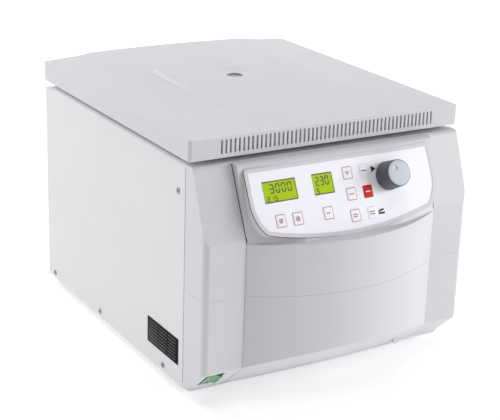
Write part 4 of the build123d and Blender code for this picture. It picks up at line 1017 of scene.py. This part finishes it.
class MAKE_OT_springs(bpy.types.Operator):
    """Finish the gas springs and the lid lock"""
    bl_idname = "centrifuge.springs"
    bl_label = "Gas springs and lock"

    def execute(self, context):
        for side in ("left", "right"):
            dress("gas_rod_" + side, hard_chrome())
            dress("gas_cylinder_" + side, black_steel())
        for name in ("latch_bearings", "latch_hooks"):
            softened(name, context.scene.edge_sizes.small, zinc_plated_steel(), 2)
        dress("latch_motor", black_nylon())
        return {"FINISHED"}


class MAKE_OT_chamber(bpy.types.Operator):
    """Finish the chamber, its guard and gasket"""
    bl_idname = "centrifuge.chamber"
    bl_label = "Chamber"

    def execute(self, context):
        dress("chamber_bowl", stainless_sheet())
        dress("guard_ring", zinc_plated_steel())
        softened("chamber_gasket", 0.8 * MM, nitrile_rubber(), 3)
        return {"FINISHED"}


class MAKE_OT_drive(bpy.types.Operator):
    """Finish the motor, its mount and the rotor with its two carriers"""
    bl_idname = "centrifuge.drive"
    bl_label = "Drive and rotor"

    def execute(self, context):
        edges = context.scene.edge_sizes
        dress("rubber_dampers", nitrile_rubber())
        dress("motor_mount_plate", powder_coated_steel())
        dress("motor_housing", cast_aluminium())
        dress("motor_bearings", hard_chrome())
        dress("motor_shaft", zinc_plated_steel())
        softened("rotor_yoke", 0.6 * MM, machined_aluminium(), 2)
        softened("rotor_nut", edges.small, zinc_plated_steel(), 2)
        for side in ("left", "right"):
            softened("plate_carrier_" + side, edges.sheet, machined_aluminium(), 2)
        return {"FINISHED"}


class MAKE_OT_mains(bpy.types.Operator):
    """Finish the mains switch, inlet and the boards"""
    bl_idname = "centrifuge.mains"
    bl_label = "Mains parts"

    def execute(self, context):
        edge = context.scene.edge_sizes.small
        softened("power_switch_body", edge, black_nylon(), 2)
        softened("power_rocker", 0.8 * MM, green_polycarbonate(), 3)
        softened("power_inlet", edge, black_nylon(), 2)
        low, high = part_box("power_inlet")
        middle = (low + high) / 2
        pitch, depth, length = 7 * MM, 20 * MM, 12.4 * MM
        outline = rounded_rectangle(2.2 * MM, 4.2 * MM, 0.4 * MM, 3)
        blades = bmesh.new()
        for step in (-1, 0, 1):
            matrix = Matrix((
                (-1, 0, 0, middle.x - step * pitch), (0, 0, 1, high.y - depth),
                (0, 1, 0, middle.z), (0, 0, 0, 1)))
            raised_shape(blades, outline, matrix, 0.0, length, 0.5 * MM)
        smooth_by_angle(blades, 40)
        link_mesh("inlet_blades", blades, pressed_steel_screw(), "base")
        dress("power_board", circuit_board())
        dress("control_board", circuit_board())
        dress("knob_encoder", zinc_plated_steel())
        return {"FINISHED"}


class MAKE_OT_fixings(bpy.types.Operator):
    """Make the screw heads with black crosses of painted shade for their recesses, the feet and the
    bare plate on the side
    """
    bl_idname = "centrifuge.fixings"
    bl_label = "Screws, feet and plate"

    def execute(self, context):
        self.screws()
        softened("feet", 1.2 * MM, nitrile_rubber(), 3)
        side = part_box("left_side_panel")[0].x
        matrix = Matrix(((0, 0, -1, side), (-1, 0, 0, 0), (0, 1, 0, 0), (0, 0, 0, 1)))
        plate = bmesh.new()
        outline = rounded_rectangle(84.5 * MM, 35.6 * MM, 1.5 * MM, 5, (111.2 * MM, 53.9 * MM))
        raised_shape(plate, outline, matrix, -0.2 * MM, 0.5 * MM, 0.2 * MM)
        smooth_by_angle(plate, 40)
        link_mesh("bare_rating_plate", plate, name_plate_film(), "base")
        rules = bmesh.new()
        rows, lowest, pitch, line = 7, 40.7, 4.4, 0.6
        for row in range(rows):
            for left, wide in ((73.5, 26), (101.5, 21), (125.5, 21)):
                centre = ((left + wide / 2) * MM, (lowest + row * pitch) * MM)
                outline = rounded_rectangle(wide * MM, line * MM, 0.2 * MM, 2, centre)
                raised_shape(rules, outline, matrix, 0.3 * MM, 0.56 * MM)
        link_mesh("plate_rules", rules, rule_print(), "base")
        return {"FINISHED"}

    def screws(self):
        """Domed heads on both side panels, each with a black cross of painted shade where its
        recess would be.
        """
        heads, recess_shades = bmesh.new(), bmesh.new()
        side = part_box("right_side_panel")[1].x
        slot_long, slot_wide = 4.6 * MM, 1.1 * MM
        for hand in (-1, 1):
            for y, z in SCREW_PLACES:
                matrix = Matrix((
                    (0, 0, hand, hand * side), (hand, 0, 0, y * MM), (0, 1, 0, z * MM),
                    (0, 0, 0, 1)))
                lathe(heads, SCREW_DOME, matrix @ Matrix.Scale(MM, 4), 32)
                # each cross is a black prism standing just proud of the dome: painted shade in
                # place of a cut recess
                for wide, tall in ((slot_long, slot_wide), (slot_wide, slot_long)):
                    outline = rounded_rectangle(wide, tall, 0.3 * MM, 2)
                    raised_shape(recess_shades, outline, matrix, 0.9 * MM, 1.38 * MM)
        smooth_by_angle(heads, 35)
        piece = link_mesh("screw_heads", heads, pressed_steel_screw(), "base")
        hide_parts("side_screws")
        link_mesh("screw_recess_shade", recess_shades, black_steel(), "base")


class MAKE_OT_stage(bpy.types.Operator):
    """Set the pale floor, the studio lights and the camera"""
    bl_idname = "centrifuge.stage"
    bl_label = "Stage"

    def execute(self, context):
        scene = context.scene
        self.floor(scene)
        self.lights(scene)
        scene.view_settings.view_transform = "Standard"
        self.camera(scene)
        return {"FINISHED"}

    def floor(self, scene):
        """Sheet that lies flat under the object and curves up behind it, turned to the camera."""
        front, back, half_width, turned = -6.0, 2.6, 7.0, -32.7
        radius, wall_top, drop, steps = 0.9, 3.3, 0.0001, 12
        profile = [(front, 0.0), (back, 0.0)]
        for step in range(1, steps + 1):
            turn = math.radians(90 * step / steps)
            profile.append((back + radius * math.sin(turn), radius - radius * math.cos(turn)))
        profile.append((back + radius, wall_top))
        sheet = bmesh.new()
        previous = None
        for y, z in profile:
            row = [sheet.verts.new((x, y, z - drop)) for x in (-half_width, half_width)]
            if previous:
                sheet.faces.new((previous[0], previous[1], row[1], row[0]))
            previous = row
        for face in sheet.faces:
            face.smooth = True
        data = bpy.data.meshes.new("floor")
        sheet.to_mesh(data)
        sheet.free()
        data.materials.append(white_acrylic())
        sweep = bpy.data.objects.new("floor", data)
        sweep.rotation_euler = (0, 0, math.radians(turned))
        scene.collection.objects.link(sweep)

    def lights(self, scene):
        """Square softboxes aimed at the object's middle, in a dim white room."""
        lights = scene.light_sizes
        aim = Vector((0, 0, 0.15))
        for name, place, size, power in (
            ("left_softbox", (-2.6, 1.0, 1.2), 2.0, lights.left),
            ("front_softbox", (2.2, -2.3, 1.3), 1.6, lights.front),
            ("right_softbox", (3.0, -1.5, 0.9), 1.6, lights.right),
            ("top_softbox", (0.0, -0.3, 2.8), 2.2, lights.top),
            ("back_softbox", (-0.6, 2.2, 2.2), 2.0, lights.back),
        ):
            lamp = bpy.data.lights.new(name, "AREA")
            lamp.shape = "RECTANGLE"
            lamp.size = lamp.size_y = size
            lamp.energy = power
            light = bpy.data.objects.new(name, lamp)
            light.location = place
            light.rotation_euler = (aim - Vector(place)).to_track_quat("-Z", "Y").to_euler()
            scene.collection.objects.link(light)
        world = bpy.data.worlds.new("white_room")
        world.use_nodes = True
        background = world.node_tree.nodes["Background"]
        background.inputs["Color"].default_value = (1, 1, 1, 1)
        background.inputs["Strength"].default_value = lights.room
        scene.world = world

    def camera(self, scene):
        """Camera in front of the left corner, a little above, for a picture of 500 by 420."""
        wide, tall, sensor = 500, 420, 36
        azimuth, elevation, roll = math.radians(-32.741), math.radians(19.235), math.radians(2.314)
        target, distance = Vector((0.0566, 0.0215, 0.1572)), 1.88455
        focal, centre_x, centre_y = 1324.898, 279.739, 203.141  # in pixels of that picture
        back = Vector((
            math.sin(azimuth) * math.cos(elevation),
            -math.cos(azimuth) * math.cos(elevation), math.sin(elevation)))
        level = (-back).cross(Vector((0, 0, 1))).normalized()
        upright = level.cross(-back)
        right = math.cos(roll) * level + math.sin(roll) * upright
        up = math.cos(roll) * upright - math.sin(roll) * level
        lens = bpy.data.cameras.new("camera")
        lens.sensor_width = sensor
        lens.lens = focal * sensor / wide
        lens.shift_x = (wide / 2 - centre_x) / wide
        lens.shift_y = (centre_y - tall / 2) / wide
        lens.clip_end = 50
        view = bpy.data.objects.new("camera", lens)
        place = target + back * distance
        view.matrix_world = Matrix((
            (right.x, up.x, back.x, place.x), (right.y, up.y, back.y, place.y),
            (right.z, up.z, back.z, place.z), (0, 0, 0, 1)))
        scene.collection.objects.link(view)
        scene.camera = view


class VIEW3D_PT_centrifuge(bpy.types.Panel):
    """Sidebar panel that lists the settings and the steps"""
    bl_label = "Microplate centrifuge"
    bl_space_type = "VIEW_3D"
    bl_region_type = "UI"
    bl_category = "Centrifuge"

    def draw(self, context):
        for group in ("panel_sizes", "edge_sizes", "case_colours", "light_sizes"):
            settings = getattr(context.scene, group)
            for name in settings.__annotations__:
                self.layout.prop(settings, name)
        for step in STEPS:
            self.layout.operator(step.bl_idname)


GROUPS = (
    ("panel_sizes", PanelSizes), ("edge_sizes", EdgeSizes), ("case_colours", CaseColours),
    ("light_sizes", LightSizes),
)
STEPS = (
    MAKE_OT_stage, MAKE_OT_case, MAKE_OT_covers, MAKE_OT_seams, MAKE_OT_overlay, MAKE_OT_keys,
    MAKE_OT_displays, MAKE_OT_knob, MAKE_OT_lid, MAKE_OT_springs, MAKE_OT_chamber, MAKE_OT_drive,
    MAKE_OT_mains, MAKE_OT_fixings,
)


def register():
    """Register the settings, the operators and the panel."""
    for name, group in GROUPS:
        bpy.utils.register_class(group)
        setattr(bpy.types.Scene, name, PointerProperty(type=group))
    for step in STEPS:
        bpy.utils.register_class(step)
    bpy.utils.register_class(VIEW3D_PT_centrifuge)


def unregister():
    """Remove them again."""
    bpy.utils.unregister_class(VIEW3D_PT_centrifuge)
    for step in reversed(STEPS):
        bpy.utils.unregister_class(step)
    for name, group in reversed(GROUPS):
        delattr(bpy.types.Scene, name)
        bpy.utils.unregister_class(group)


def main():
    """Dress the whole model."""
    register()
    for step in STEPS:
        family, action = step.bl_idname.split(".")
        getattr(getattr(bpy.ops, family), action)()


if __name__ == "__main__":
    main()
